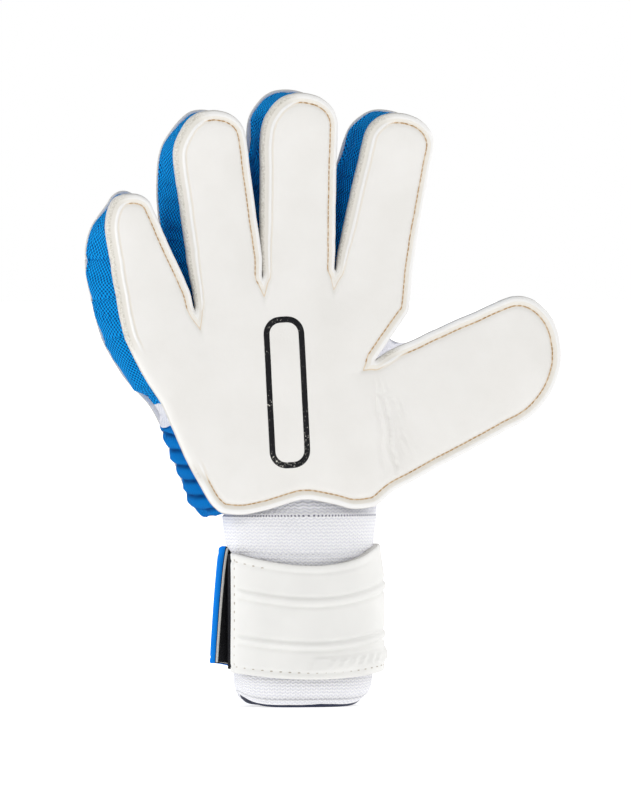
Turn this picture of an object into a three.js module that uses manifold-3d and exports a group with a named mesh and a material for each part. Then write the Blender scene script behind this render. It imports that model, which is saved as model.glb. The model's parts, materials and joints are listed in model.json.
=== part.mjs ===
// Goalkeeper glove, right hand, built as the pieces it is sewn from.
// Millimetres, +Z up. The glove stands on its cuff with the fingers up, the palm faces -Y and the thumb
// points to +X. The origin is on the cuff's bottom rim, in the middle of the palm side.
//
// A soft glove bends where the hand inside it bends, so each sheet that crosses a finger, thumb or wrist
// joint is cut there. Every finger hinge lies on the outer face of the palm foam, where the foam creases.
// Closing a finger then opens a wedge at its back, where the real fabric stretches, and no two pieces meet.
import * as THREE from "three";
import { mergeVertices } from "three/addons/utils/BufferGeometryUtils.js";
import Module from "manifold-3d";

const wasm = await Module();
wasm.setup();

const { degToRad } = THREE.MathUtils;

// ---- driving dimensions ----

// Layers through the hand, as distances along Y. The palm is the negative side.
const PALM_FACE = -20;
const PALM_FOAM = 5.4;
const LAYER_GAP = 0.4;
const FABRIC = 1.4;
const FINGER_LINING_BACK = 5.8;
const THUMB_LINING_BACK = 9;
const WRIST_LINING_BACK = 14.5;
const BACK_FOAM = 4.8;

// A foam sheet reaches this far past the fabric wall sewn to it.
const SEAM_LIP = 4;

// Half of the gap left where a sheet is cut at a joint. It grows towards the back, which closes when a finger
// bends backwards.
const PALM_CUT = 0.3;
const LINING_CUT = 1.5;
const BACK_CUT = 2.2;

// How far past an open end the cavity of a sleeve is cut.
const OPEN_END = 6;

// Straight pieces that a curved edge or a rounded tip is drawn with.
const EDGE_PIECES = 8;
const TIP_PIECES = 12;

// root is the middle of the line where the finger leaves the palm, lean its angle from vertical in degrees.
// joints and curl run from knuckle to fingertip: distances from the root, and the bend at rest in degrees.
const FINGERS = {
  little: {
    root: [-75.6, 187.2], lean: -20.6, length: 65, rootWidth: 36, tipWidth: 27.5, joints: [9, 28, 45],
  },
  ring: {
    root: [-42.8, 205.7], lean: -10.1, length: 84.6, rootWidth: 36, tipWidth: 36, joints: [10, 37, 60],
  },
  middle: {
    root: [-7.4, 212], lean: -1.8, length: 86, rootWidth: 36.4, tipWidth: 37.6, joints: [10, 38, 62],
  },
  index: {
    root: [28.8, 208.4], lean: 10.6, length: 81, rootWidth: 35, tipWidth: 32, joints: [10, 36, 59],
  },
};
const FINGER_CURL = [2.5, 3, 3.5];
const FINGER_JOINTS = ["knuckle", "middle_joint", "tip_joint"];

// The height of a fingertip's round end, as a share of half its width.
const TIP_ROUNDNESS = 0.85;

// The bottoms of the three notches between the fingers, and of the notch beside the thumb. INDEX_CORNER is
// the outer corner at the foot of the index finger.
const NOTCHES = [[-58.9, 193], [-25.2, 208], [11.2, 211.4]];
const NOTCH_WIDTH = 1.6;
const THUMB_NOTCH = [30.3, 167.3];
const INDEX_CORNER = [44.3, 193.5];

// The thumb turns about an upright crease at THUMB_CREASE_X. Its tip joint lies square across the thumb.
// Its end is lopsided: peak is how far the longest point is from the middle, and ends are the heights of
// the round corners on the lower and the upper side.
const THUMB_CREASE_X = 41;
const THUMB = {
  root: [THUMB_CREASE_X, 140],
  lean: 63.3,
  length: 92.2,
  rootWidth: 61,
  tipWidth: 53.6,
  peak: -8,
  ends: [38, 17],
};
const THUMB_TIP_JOINT = 48;
const THUMB_CURL = 6;
const THUMB_CREASE_TOP = 174;
const THUMB_CREASE_BOTTOM = 106.4;

// Cuff and strap: half axes of the oval sleeve, and heights.
const CUFF = { halfWidth: 34.6, halfDepth: 19.2, bottom: 2.8, top: 78.2, wall: 2 };
const BINDING_TOP = 2.4;
const WRIST_BAND = { bottom: 82.8, top: 88, shift: -3, halfWidth: 36.5, halfDepth: 19 };
const WRIST_PIVOTS = [80.5, 90.4];
const STRAP = { bottom: 16, top: 74, baseThickness: 1.4, foamThickness: 3.8, coverThickness: 2.4 };
const TAPE = { margin: 3, thickness: 1.3 };

// Angles round the cuff in degrees: 0 is the thumb side, 90 the palm side, 180 the little finger's side and
// 270 the back.
const STRAP_ANGLES = {
  base: [-42, 180],
  foam: [0, 163],
  tab: [184, 226],
  tip: [227.5, 292],
  loop: [192, 306],
};

// The turn of each flat piece that a strap is drawn with, and the flat pieces round a whole sleeve.
const WRAP_STEP = 8;
const OVAL_PIECES = 40;

// ---- materials ----

const finish = (color, roughness) => new THREE.MeshStandardMaterial({ color, roughness, metalness: 0 });
const MATERIALS = {
  palmFoam: finish(0xf3f0e8, 0.75),
  backFoam: finish(0xeeeeec, 0.6),
  blueMesh: finish(0x1480d8, 0.85),
  whiteMesh: finish(0xf2f3f7, 0.9),
  lining: finish(0xdfe0e4, 0.95),
  strapFoam: finish(0xf1f1ee, 0.6),
  blackTape: finish(0x141418, 0.95),
  blueCover: finish(0x1088e6, 0.55),
  binding: finish(0x16203a, 0.8),
};

// ---- solids ----

function closedSurface(geometry) {
  const bare = geometry.index ? geometry.toNonIndexed() : geometry.clone();
  bare.deleteAttribute("normal");
  bare.deleteAttribute("uv");
  return mergeVertices(bare, 1e-4);
}

function toSolid(geometry) {
  const merged = closedSurface(geometry);
  return new wasm.Manifold(
    new wasm.Mesh({
      numProp: 3,
      vertProperties: merged.attributes.position.array,
      triVerts: new Uint32Array(merged.index.array),
    }),
  );
}

function toGeometry(solid) {
  const mesh = solid.getMesh();
  const geometry = new THREE.BufferGeometry();
  geometry.setAttribute("position", new THREE.BufferAttribute(mesh.vertProperties, 3));
  geometry.setIndex(new THREE.BufferAttribute(mesh.triVerts, 1));
  const faceted = geometry.toNonIndexed();
  faceted.computeVertexNormals();
  return faceted;
}

const subtract = (body, tool) => toGeometry(toSolid(body).subtract(toSolid(tool)));

// An outline in the X-Z plane, filled from y = front to y = back. back can be a function of z.
function prism(points, front, back) {
  const geometry = new THREE.ExtrudeGeometry(new THREE.Shape(points), { depth: 1, bevelEnabled: false });
  geometry.rotateX(Math.PI / 2);
  const position = geometry.attributes.position;
  for (let i = 0; i < position.count; i++) {
    const atBack = position.getY(i) > -0.5;
    const backHere = typeof back === "function" ? back(position.getZ(i)) : back;
    position.setY(i, atBack ? backHere : front);
  }
  return geometry;
}

// Moves each edge of an anticlockwise outline inwards by its own distance, or outwards if that is negative.
function inset(points, distances) {
  const count = points.length;
  const lines = points.map((from, i) => {
    const along = points[(i + 1) % count].clone().sub(from).normalize();
    const inwards = new THREE.Vector2(-along.y, along.x);
    return { point: from.clone().addScaledVector(inwards, distances[i]), along };
  });
  return lines.map((line, i) => {
    const before = lines[(i + count - 1) % count];
    const cross = before.along.cross(line.along);
    if (Math.abs(cross) < 1e-6) return line.point;
    const between = line.point.clone().sub(before.point);
    return before.point.clone().addScaledVector(before.along, between.cross(line.along) / cross);
  });
}

// The points of a curved stretch of outline, less its last point, so that stretches can follow one another.
const smooth = (pairs, pieces) =>
  new THREE.SplineCurve(pairs.map(([x, z]) => new THREE.Vector2(x, z))).getPoints(pieces).slice(0, -1);

// An outline collects points with the kind of edge that follows each: a seam, a cut at a joint, or the open
// mouth.
class Outline {
  points = [];
  kinds = [];
  add(kind, ...points) {
    for (const point of points) {
      this.points.push(point);
      this.kinds.push(kind);
    }
    return this;
  }
  moved(distances) {
    return inset(this.points, this.kinds.map((kind) => distances[kind]));
  }
}

function place(group, name, geometry, material) {
  const mesh = new THREE.Mesh(geometry, material);
  mesh.name = name;
  group.add(mesh);
}

// The three layers of a stretch of glove: palm foam, a fabric sleeve that is wall and lining in one, and back
// foam.
function addLayers(group, names, outline, liningBack, fabricMaterial, liningOutline = outline) {
  const liningFront = PALM_FACE + PALM_FOAM + LAYER_GAP;
  const backAt = typeof liningBack === "function" ? liningBack : () => liningBack;
  const past = (distance) => (z) => backAt(z) + distance;
  const palm = outline.moved({ seam: 0, mouth: 0, cut: PALM_CUT });
  const outside = liningOutline.moved({ seam: SEAM_LIP, mouth: 1, cut: LINING_CUT });
  const cavity = liningOutline.moved({ seam: SEAM_LIP + FABRIC, mouth: -OPEN_END, cut: -OPEN_END });
  const back = outline.moved({ seam: 0, mouth: 0, cut: BACK_CUT });
  const sleeve = subtract(
    prism(outside, liningFront, past(0)),
    prism(cavity, liningFront + FABRIC, past(-FABRIC)),
  );
  place(group, names.palm, prism(palm, PALM_FACE, PALM_FACE + PALM_FOAM), MATERIALS.palmFoam);
  place(group, names.sleeve, sleeve, fabricMaterial);
  place(group, names.back, sheetOn(back, past(LAYER_GAP), BACK_FOAM), MATERIALS.backFoam);
}

// A sheet of even thickness lying on a surface, whose y is a function of z.
function sheetOn(points, surface, thickness) {
  const sheet = prism(points, 0, (z) => surface(z) + thickness);
  const position = sheet.attributes.position;
  for (let i = 0; i < position.count; i++)
    if (position.getY(i) === 0) position.setY(i, surface(position.getZ(i)));
  return sheet;
}

// A group whose contents turn about an axis along local X through (0, y, z), and keep their coordinates.
function pivot(parent, name, y, z, degrees) {
  const turned = new THREE.Group();
  turned.name = name;
  turned.position.set(0, y, z);
  turned.rotation.x = degToRad(degrees);
  const contents = new THREE.Group();
  contents.position.set(0, -y, -z);
  turned.add(contents);
  parent.add(turned);
  return contents;
}

// ---- fingers ----

// Local frame of a finger or the thumb: Z along it from its root, X across it towards the thumb side.
function digitFrame(parent, { root, lean }) {
  const frame = new THREE.Group();
  frame.position.set(root[0], 0, root[1]);
  frame.rotation.y = degToRad(lean);
  parent.add(frame);
  return frame;
}

// The heights of the round corners at a digit's end, on the +X side and then on the -X side.
function endHeights(digit) {
  const even = (digit.tipWidth / 2) * TIP_ROUNDNESS;
  return digit.ends ?? [even, even];
}

function halfWidth(digit, along) {
  const straight = digit.length - endHeights(digit)[0];
  const share = THREE.MathUtils.clamp(along / straight, 0, 1);
  return THREE.MathUtils.lerp(digit.rootWidth, digit.tipWidth, share) / 2;
}

function stretchOutline(digit, from, to) {
  const across = [halfWidth(digit, from), halfWidth(digit, to)];
  return new Outline()
    .add("cut", new THREE.Vector2(-across[0], from))
    .add("seam", new THREE.Vector2(across[0], from))
    .add("cut", new THREE.Vector2(across[1], to))
    .add("seam", new THREE.Vector2(-across[1], to));
}

function tipOutline(digit, from) {
  const across = halfWidth(digit, from);
  const { tipWidth, length, peak = 0 } = digit;
  const [right, left] = endHeights(digit);
  const half = tipWidth / 2;
  const top = Math.PI / 2;
  const rising = new THREE.EllipseCurve(peak, length - right, half - peak, right, 0, top);
  const falling = new THREE.EllipseCurve(peak, length - left, half + peak, left, top, Math.PI);
  return new Outline()
    .add("cut", new THREE.Vector2(-across, from))
    .add("seam", new THREE.Vector2(across, from))
    .add("seam", ...rising.getPoints(TIP_PIECES / 2), ...falling.getPoints(TIP_PIECES / 2).slice(1));
}

function addFinger(parent, name, finger) {
  const [knuckle, middle, tip] = finger.joints;
  const outlines = [
    stretchOutline(finger, knuckle, middle),
    stretchOutline(finger, middle, tip),
    tipOutline(finger, tip),
  ];
  let frame = digitFrame(parent, finger);
  ["base", "middle", "tip"].forEach((stretch, i) => {
    frame = pivot(frame, `${name}_${FINGER_JOINTS[i]}`, PALM_FACE, finger.joints[i], FINGER_CURL[i]);
    const names = {
      palm: `${name}_palm_foam_${stretch}`,
      sleeve: `${name}_gusset_${stretch}`,
      back: `${name}_back_foam_${stretch}`,
    };
    addLayers(frame, names, outlines[i], FINGER_LINING_BACK, MATERIALS.blueMesh);
  });
}

// ---- thumb ----

// A point on the upright crease, in the thumb's own frame.
function creasePoint(height) {
  const lean = degToRad(THUMB.lean);
  const rise = height - THUMB.root[1];
  return new THREE.Vector2(-rise * Math.sin(lean), rise * Math.cos(lean));
}

function addThumb(parent) {
  const frame = digitFrame(parent, THUMB);
  const across = halfWidth(THUMB, THUMB_TIP_JOINT);
  const base = new Outline()
    .add("cut", creasePoint(THUMB_CREASE_TOP))
    .add("seam", creasePoint(THUMB_CREASE_BOTTOM))
    .add("cut", new THREE.Vector2(across, THUMB_TIP_JOINT))
    .add("seam", new THREE.Vector2(-across, THUMB_TIP_JOINT));
  const names = (stretch) => ({
    palm: `thumb_palm_foam_${stretch}`,
    sleeve: `thumb_gusset_${stretch}`,
    back: `thumb_back_foam_${stretch}`,
  });
  addLayers(frame, names("base"), base, THUMB_LINING_BACK, MATERIALS.whiteMesh);
  const tipFrame = pivot(frame, "thumb_tip_joint", PALM_FACE, THUMB_TIP_JOINT, THUMB_CURL);
  const tip = tipOutline(THUMB, THUMB_TIP_JOINT);
  addLayers(tipFrame, names("tip"), tip, THUMB_LINING_BACK, MATERIALS.blueMesh);
}

// ---- hand ----

// A point of a finger's own frame in the hand's X-Z plane.
function onHand(finger, across, along) {
  const lean = degToRad(finger.lean);
  return new THREE.Vector2(
    finger.root[0] + across * Math.cos(lean) + along * Math.sin(lean),
    finger.root[1] - across * Math.sin(lean) + along * Math.cos(lean),
  );
}

// The curved edges of the palm foam, as the few points they pass through.
const LITTLE_SIDE = [[-93.4, 180], [-84, 158.5], [-72.4, 137], [-60, 116], [-51.5, 100], [-45.5, 94.6]];
const HEEL = [[-45.5, 94.6], [-34, 94], [-20, 97], [-5, 101], [8, 99.4], [20, 96.4], [31.5, 97.4]];

const toVectors = (pairs) => pairs.map(([x, z]) => new THREE.Vector2(x, z));

// Anticlockwise from the heel's little finger side. A short stub of each finger stays with the hand.
// The foam sheets follow the curved heel. The lining's mouth is straight.
function handOutline(heel) {
  const outline = new Outline()
    .add("mouth", ...heel)
    .add("seam", ...toVectors([HEEL.at(-1)]))
    .add("cut", new THREE.Vector2(THUMB_CREASE_X, THUMB_CREASE_BOTTOM))
    .add("seam", new THREE.Vector2(THUMB_CREASE_X, THUMB_CREASE_TOP))
    .add("seam", ...toVectors([THUMB_NOTCH, INDEX_CORNER]));
  const order = ["index", "middle", "ring", "little"];
  order.forEach((name, i) => {
    const finger = FINGERS[name];
    const knuckle = finger.joints[0];
    const across = halfWidth(finger, knuckle);
    outline.add("cut", onHand(finger, across, knuckle));
    outline.add("seam", onHand(finger, -across, knuckle));
    if (i === NOTCHES.length) return;
    const [x, z] = NOTCHES.at(-1 - i);
    outline.add("seam", ...toVectors([[x + NOTCH_WIDTH / 2, z], [x - NOTCH_WIDTH / 2, z]]));
  });
  return outline.add("seam", ...smooth(LITTLE_SIDE, EDGE_PIECES));
}

// The lining's back leans out from the knuckles to the wrist.
const KNUCKLE_LINE = 215;
const WRIST_LINE = 94;
const handLiningBack = (z) =>
  THREE.MathUtils.mapLinear(z, KNUCKLE_LINE, WRIST_LINE, FINGER_LINING_BACK, WRIST_LINING_BACK);

// A strip of fabric standing along a stretch of edge, outside the lining's wall. The little finger's side
// has SIDE_PIECES straight pieces, and the side gusset takes the upper SIDE_GUSSET_PIECES of them.
const STRIP = { outside: 0.7, inside: 3.4 };
const STRIP_BACK = FINGER_LINING_BACK + 1;
const SIDE_PIECES = 12;
const SIDE_GUSSET_PIECES = 5;

function edgeStrip(edge) {
  const beyond = edge.at(-1).clone().addScaledVector(edge.at(-1).clone().sub(edge.at(-2)).normalize(), 1);
  const line = [...edge, beyond];
  const shifted = (distance) => {
    const ring = inset(line, line.map(() => distance));
    return ring.slice(1, -1);
  };
  const front = PALM_FACE + PALM_FOAM + LAYER_GAP;
  return prism([...shifted(STRIP.outside), ...shifted(STRIP.inside).reverse()], front, STRIP_BACK);
}

function addHand(parent) {
  const names = { palm: "palm_foam", sleeve: "hand_lining", back: "backhand_foam" };
  const straightHeel = handOutline(toVectors([HEEL[0]]));
  const heel = smooth(HEEL, EDGE_PIECES);
  addLayers(parent, names, handOutline(heel), handLiningBack, MATERIALS.lining, straightHeel);
  const side = smooth(LITTLE_SIDE, SIDE_PIECES);
  const gussetEdge = side.slice(0, SIDE_GUSSET_PIECES + 1);
  const stretchEdge = side.slice(SIDE_GUSSET_PIECES + 1);
  place(parent, "side_gusset", edgeStrip(gussetEdge), MATERIALS.blueMesh);
  place(parent, "stretch_panel", edgeStrip(stretchEdge), MATERIALS.blueMesh);
  place(parent, "thumb_web", edgeStrip(thumbWebEdge()), MATERIALS.whiteMesh);
  place(parent, "knuckle_pad", knucklePad(), MATERIALS.backFoam);
}

// The edge from the thumb's root down into the notch and up to the foot of the index finger. It stops short
// at both ends and cuts the notch's corner, by these shares of each side.
const WEB_SHORT = 0.15;
const WEB_CORNER = [0.2, 0.1];

function thumbWebEdge() {
  const thumbRoot = new THREE.Vector2(THUMB_CREASE_X, THUMB_CREASE_TOP);
  const [notch, indexFoot] = toVectors([THUMB_NOTCH, INDEX_CORNER]);
  return [
    thumbRoot.clone().lerp(notch, WEB_SHORT),
    notch.clone().lerp(thumbRoot, WEB_CORNER[0]),
    notch.clone().lerp(indexFoot, WEB_CORNER[1]),
    indexFoot.clone().lerp(notch, WEB_SHORT),
  ];
}

// A padded bar across the back of the knuckles.
const PAD = { top: 196, bottom: 168, left: -70, right: 28, slope: 0.1, thickness: 3.2, corner: 9 };

function knucklePad() {
  const rise = (x) => PAD.slope * (x - PAD.left);
  const corners = toVectors([
    [PAD.left, PAD.bottom - PAD.corner],
    [PAD.right - PAD.corner, PAD.bottom + rise(PAD.right) - PAD.corner],
    [PAD.right, PAD.bottom + rise(PAD.right)],
    [PAD.right, PAD.top + rise(PAD.right) - PAD.corner],
    [PAD.right - PAD.corner, PAD.top + rise(PAD.right)],
    [PAD.left + PAD.corner, PAD.top - PAD.corner],
    [PAD.left, PAD.top - 2 * PAD.corner],
  ]);
  return sheetOn(corners, (z) => handLiningBack(z) + LAYER_GAP + BACK_FOAM + LAYER_GAP, PAD.thickness);
}

// ---- cuff and strap ----

// An oval tube, made as a round one and then stretched. section holds its wall's corners as [offset from
// the oval, height], anticlockwise from the inside bottom.
function ovalTube(section, oval) {
  const radius = oval.halfWidth;
  const profile = section.map(([offset, z]) => new THREE.Vector2(radius + offset, z));
  const geometry = new THREE.LatheGeometry([...profile, profile[0]], OVAL_PIECES);
  const position = geometry.attributes.position;
  for (let i = 0; i < position.count; i++) {
    const [x, z, y] = [position.getX(i), position.getY(i), position.getZ(i)];
    const reach = Math.hypot(x, y);
    const offset = reach - radius;
    const across = (x / reach) * (oval.halfWidth + offset);
    position.setXYZ(i, across, -(y / reach) * (oval.halfDepth + offset), z);
  }
  return geometry;
}

function shellPoint(angle, offset, z) {
  const turn = degToRad(angle);
  return [(CUFF.halfWidth + offset) * Math.cos(turn), -(CUFF.halfDepth + offset) * Math.sin(turn), z];
}

// Part of the way round the cuff: a curved panel between two angles, offsets and heights, with square ends.
function wrap([from, to], inner, outer, bottom, top) {
  const steps = Math.round((to - from) / WRAP_STEP);
  const corners = [];
  for (let i = 0; i <= steps; i++) {
    const angle = THREE.MathUtils.lerp(from, to, i / steps);
    corners.push(
      shellPoint(angle, inner, bottom),
      shellPoint(angle, outer, bottom),
      shellPoint(angle, outer, top),
      shellPoint(angle, inner, top),
    );
  }
  const faces = [0, 2, 1, 0, 3, 2];
  for (let i = 0; i < steps; i++)
    for (let side = 0; side < 4; side++) {
      const [a, b] = [4 * i + side, 4 * i + ((side + 1) % 4)];
      faces.push(a, b, b + 4, a, b + 4, a + 4);
    }
  const last = 4 * steps;
  faces.push(last, last + 1, last + 2, last, last + 2, last + 3);
  const geometry = new THREE.BufferGeometry();
  geometry.setAttribute("position", new THREE.Float32BufferAttribute(corners.flat(), 3));
  geometry.setIndex(faces);
  const faceted = geometry.toNonIndexed();
  faceted.computeVertexNormals();
  return faceted;
}

function addCuff(parent) {
  const { wall, bottom, top } = CUFF;
  const tube = (low, high, outer = 0) => [[-wall, low], [outer, low], [outer, high], [-wall, high]];
  place(parent, "wrist_sleeve", ovalTube(tube(bottom, top), CUFF), MATERIALS.whiteMesh);
  place(parent, "cuff_binding", ovalTube(tube(0, BINDING_TOP), CUFF), MATERIALS.binding);

  const base = [LAYER_GAP, LAYER_GAP + STRAP.baseThickness];
  const foam = [base[1] + LAYER_GAP, base[1] + LAYER_GAP + STRAP.foamThickness];
  const loop = base;
  const hook = [loop[1] + LAYER_GAP, loop[1] + LAYER_GAP + TAPE.thickness];
  const cover = [hook[1] + LAYER_GAP, hook[1] + LAYER_GAP + STRAP.coverThickness];
  const height = [STRAP.bottom, STRAP.top];
  const tapeHeight = [STRAP.bottom + TAPE.margin, STRAP.top - TAPE.margin];

  place(parent, "strap_base", wrap(STRAP_ANGLES.base, ...base, ...height), MATERIALS.blackTape);
  place(parent, "strap_foam", wrap(STRAP_ANGLES.foam, ...foam, ...height), MATERIALS.strapFoam);
  place(parent, "loop_patch", wrap(STRAP_ANGLES.loop, ...loop, ...tapeHeight), MATERIALS.blackTape);
  place(parent, "strap_tab_hook", wrap(STRAP_ANGLES.tab, ...hook, ...tapeHeight), MATERIALS.blackTape);
  place(parent, "strap_tab_cover", wrap(STRAP_ANGLES.tab, ...cover, ...height), MATERIALS.blueCover);
  place(parent, "strap_tip_hook", wrap(STRAP_ANGLES.tip, ...hook, ...tapeHeight), MATERIALS.blackTape);
  place(parent, "strap_tip_cover", wrap(STRAP_ANGLES.tip, ...cover, ...height), MATERIALS.blueCover);
}

function addWristBand(parent) {
  const { bottom, top } = WRIST_BAND;
  const section = [[-CUFF.wall, bottom], [0, bottom], [0, top], [-CUFF.wall, top]];
  const band = ovalTube(section, WRIST_BAND);
  band.translate(WRIST_BAND.shift, 0, 0);
  place(parent, "wrist_band", band, MATERIALS.whiteMesh);
}

// ---- the glove ----

const glove = new THREE.Group();
glove.position.y = CUFF.halfDepth - CUFF.wall / 2;
addCuff(glove);
const wristFrame = pivot(glove, "wrist_lower", 0, WRIST_PIVOTS[0], 0);
addWristBand(wristFrame);
const handFrame = pivot(wristFrame, "wrist_upper", 0, WRIST_PIVOTS[1], 0);
addHand(handFrame);
for (const [name, finger] of Object.entries(FINGERS)) addFinger(handFrame, name, finger);
addThumb(handFrame);

export default glove;
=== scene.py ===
# Goalkeeper glove: the sewn sheets, fabrics, stitches and materials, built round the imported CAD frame.
# Lengths are millimetres in the row frame (+Z up, the palm faces -Y, the thumb points to +X), and
# mesh_object() turns them into metres. Outlines lie in the X-Z plane.
import json
import math

import bpy
import numpy as np
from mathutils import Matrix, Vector, kdtree, noise
from mathutils.geometry import delaunay_2d_cdt


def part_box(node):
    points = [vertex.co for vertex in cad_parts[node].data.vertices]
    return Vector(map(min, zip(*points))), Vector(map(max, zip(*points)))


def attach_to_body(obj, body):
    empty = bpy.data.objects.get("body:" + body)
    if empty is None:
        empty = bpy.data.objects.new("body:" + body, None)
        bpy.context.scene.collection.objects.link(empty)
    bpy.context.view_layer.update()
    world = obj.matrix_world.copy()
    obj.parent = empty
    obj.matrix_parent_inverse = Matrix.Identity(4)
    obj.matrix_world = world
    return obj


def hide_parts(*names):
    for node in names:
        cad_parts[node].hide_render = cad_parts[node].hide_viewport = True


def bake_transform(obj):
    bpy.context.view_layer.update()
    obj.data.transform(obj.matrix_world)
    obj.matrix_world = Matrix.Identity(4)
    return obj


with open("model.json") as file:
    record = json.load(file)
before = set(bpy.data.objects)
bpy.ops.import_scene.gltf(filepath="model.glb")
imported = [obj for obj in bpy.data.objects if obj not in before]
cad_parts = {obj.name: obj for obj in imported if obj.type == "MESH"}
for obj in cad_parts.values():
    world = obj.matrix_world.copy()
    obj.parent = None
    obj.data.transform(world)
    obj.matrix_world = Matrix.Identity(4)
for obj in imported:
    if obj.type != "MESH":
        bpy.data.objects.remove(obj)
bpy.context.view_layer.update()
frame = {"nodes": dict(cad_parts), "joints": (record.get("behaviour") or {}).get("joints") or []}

HAND = "hand"
FINGER_NAMES = ("index", "middle", "ring", "little")

# Layers through the hand. The back foam leans out from the knuckles to the wrist.
PALM_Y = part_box("palm_foam")[0].y * 1000
FINGER_BACK_Y = 24.4
THUMB_BACK_Y = 27.6
WRIST_BACK_Y = 33.1
KNUCKLE_Z = 215
WRIST_Z = 94
BACK_FOAM = 4.8

# ---- helpers for numbers and points ----


def smoothstep(value, low, high):
    share = np.clip((value - low) / (high - low), 0, 1)
    return share * share * (3 - 2 * share)


def hump(value, centre, width):
    return np.exp(-((value - centre) / width) ** 2)


def noise_at(points, size, seed=0.0):
    """Smooth noise between about -1 and 1, whose features are about size across."""
    return np.array([noise.noise(Vector((p[0] / size, p[1] / size, seed))) for p in points])


def size_of(vectors):
    return np.hypot(*vectors.T)


def unit(vectors):
    return vectors / np.maximum(np.linalg.norm(vectors, axis=-1, keepdims=True), 1e-9)


def closest(points, place):
    return np.argmin(size_of(points - place))


def travel(points):
    """How far along a line each of its points is."""
    return np.concatenate([[0], np.cumsum(np.linalg.norm(np.diff(points, axis=0), axis=1))])


def stand(plane, y):
    """Points of the X-Z plane, moved to the depths y."""
    return np.column_stack([plane[:, 0], y, plane[:, 1]])


# ---- digits ----


class Digit:
    """A finger or the thumb in its own frame: along from its root, across towards the thumb's side.

    It creases at joints, each bent by curl degrees at rest over its zone to both sides. Its sheets are
    divided at cuts. ends says how far below the tip its rounding starts on the two sides, and peak how far
    across the tip is."""

    def __init__(self, name, root, lean, length, widths, joints, ends=None, peak=0.0,
                 curl=(2.5, 3, 3.5), zones=(10, 11, 10), cuts=(0, 23.5, 49)):
        lean = math.radians(lean)
        self.name, self.root, self.length, self.widths = name, np.array(root, float), length, widths
        self.joints, self.peak, self.curl, self.zones, self.cuts = joints, peak, curl, zones, cuts
        self.ends = ends or (0.425 * widths[1],) * 2
        self.along = np.array([math.sin(lean), math.cos(lean)])
        self.across = np.array([math.cos(lean), -math.sin(lean)])
        thumb = name == "thumb"
        self.stretches = ("base", "tip") if thumb else ("base", "middle", "tip")
        folds = ("base_joint", "tip_joint") if thumb else ("knuckle", "middle_joint", "tip_joint")
        self.joint_names = [f"{name}_{fold}" for fold in folds]

    def half_width(self, along):
        return np.interp(along, [0, self.length - self.ends[0]], self.widths) / 2

    def on_hand(self, across, along):
        return self.root + np.multiply.outer(across, self.across) + np.multiply.outer(along, self.along)

    def local(self, points):
        offset = np.asarray(points) - self.root
        return offset @ self.across, offset @ self.along

    def walls(self, start):
        """The edge from start up one side, round the tip and down to start on the other side."""
        right, left = self.ends
        half = self.widths[1] / 2
        root = self.half_width(start)
        turn = np.linspace(0, math.pi / 2, 24)
        rising = (half - self.peak) * np.cos(turn), right * (np.sin(turn) - 1)
        falling = (half + self.peak) * np.sin(turn[1:]), left * (np.cos(turn[1:]) - 1)
        across = np.concatenate([[root], self.peak + rising[0], self.peak - falling[0], [-root]])
        along = np.concatenate([[start], self.length + rising[1], self.length + falling[1], [start]])
        return self.on_hand(across, along)

    def curled(self, points):
        """Points of the flat digit, bent forward at the joints as the relaxed glove stands."""
        across, along = self.local(points[:, [0, 2]])
        depth = points[:, 1] - PALM_Y
        step = 0.5
        table = np.arange(-60, self.length + 12, step)
        angle = sum(
            math.radians(bend) * smoothstep(table, joint - half, joint + half)
            for joint, bend, half in zip(self.joints, self.curl, self.zones)
        )
        forward = np.concatenate([[0], np.cumsum(np.sin(angle[:-1]) * step)])
        risen = table[0] + np.concatenate([[0], np.cumsum(np.cos(angle[:-1]) * step)])
        bend = np.interp(along, table, angle)
        plane = self.on_hand(across, np.interp(along, table, risen) + depth * np.sin(bend))
        return stand(plane, PALM_Y - np.interp(along, table, forward) + depth * np.cos(bend))


DIGITS = {digit.name: digit for digit in (
    Digit("thumb", (42.3, 137.2), 62.3, 92.2, (62.2, 57.6), (48,), (38, 17), -8, (6,), (10,), (37,)),
    Digit("index", (30.1, 208.2), 10.6, 81, (37.6, 34.6), (10, 36, 59)),
    Digit("middle", (-7.2, 212), -0.4, 86, (36.6, 37.6), (10, 38, 62)),
    Digit("ring", (-41.8, 205.7), -9.2, 84.6, (36.2, 36.4), (10, 37, 60), (15.3, 19)),
    Digit("little", (-75.3, 186.7), -19.2, 65.3, (38.6, 25), (9, 28, 45), (10.6, 16),
          zones=(9, 8.5, 8), cuts=(0, 18.75, 36.75)),
)}

# ---- the palm's outline ----

EDGE_STEP = 1.3
HEEL = [(-45.5, 94.6), (-34, 94), (-20, 97), (-5, 101), (8, 99.4), (20, 96.4), (31.5, 97.4)]
LITTLE_SIDE = [
    (-93.4, 180), (-87.6, 168), (-81.6, 158), (-74.2, 147),
    (-70, 137), (-60, 116), (-51.5, 100), (-45.5, 94.6),
]
NOTCHES = {"index": (11.2, 211.4), "middle": (-25.2, 208), "ring": (-58.9, 193)}
NOTCH_WIDTH = 1.6
THUMB_NOTCH = (30.3, 167.3)
ALL_NOTCHES = {**NOTCHES, "thumb": THUMB_NOTCH}
INDEX_CORNER = (48.2, 192.0)
# Where the thumb's outline starts and ends: x, and the bottom and top heights.
THUMB_CREASE = (41, 105.0, 174)
# How much rounder the palm is at a fingertip's corner on the little finger's side. The roundness is greatest
# at the first distance below the tip and fades over the second.
TIP_CUT = {"middle": 2.0, "ring": 1.9, "little": 1.1}
TIP_CUT_PLACE = (7, 9)
# The wobble of a hand-cut edge: its amounts, and the sizes and seeds of its noise.
WOBBLE = ((0.35, 14, 3.0), (0.12, 4, 5.0))

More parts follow.
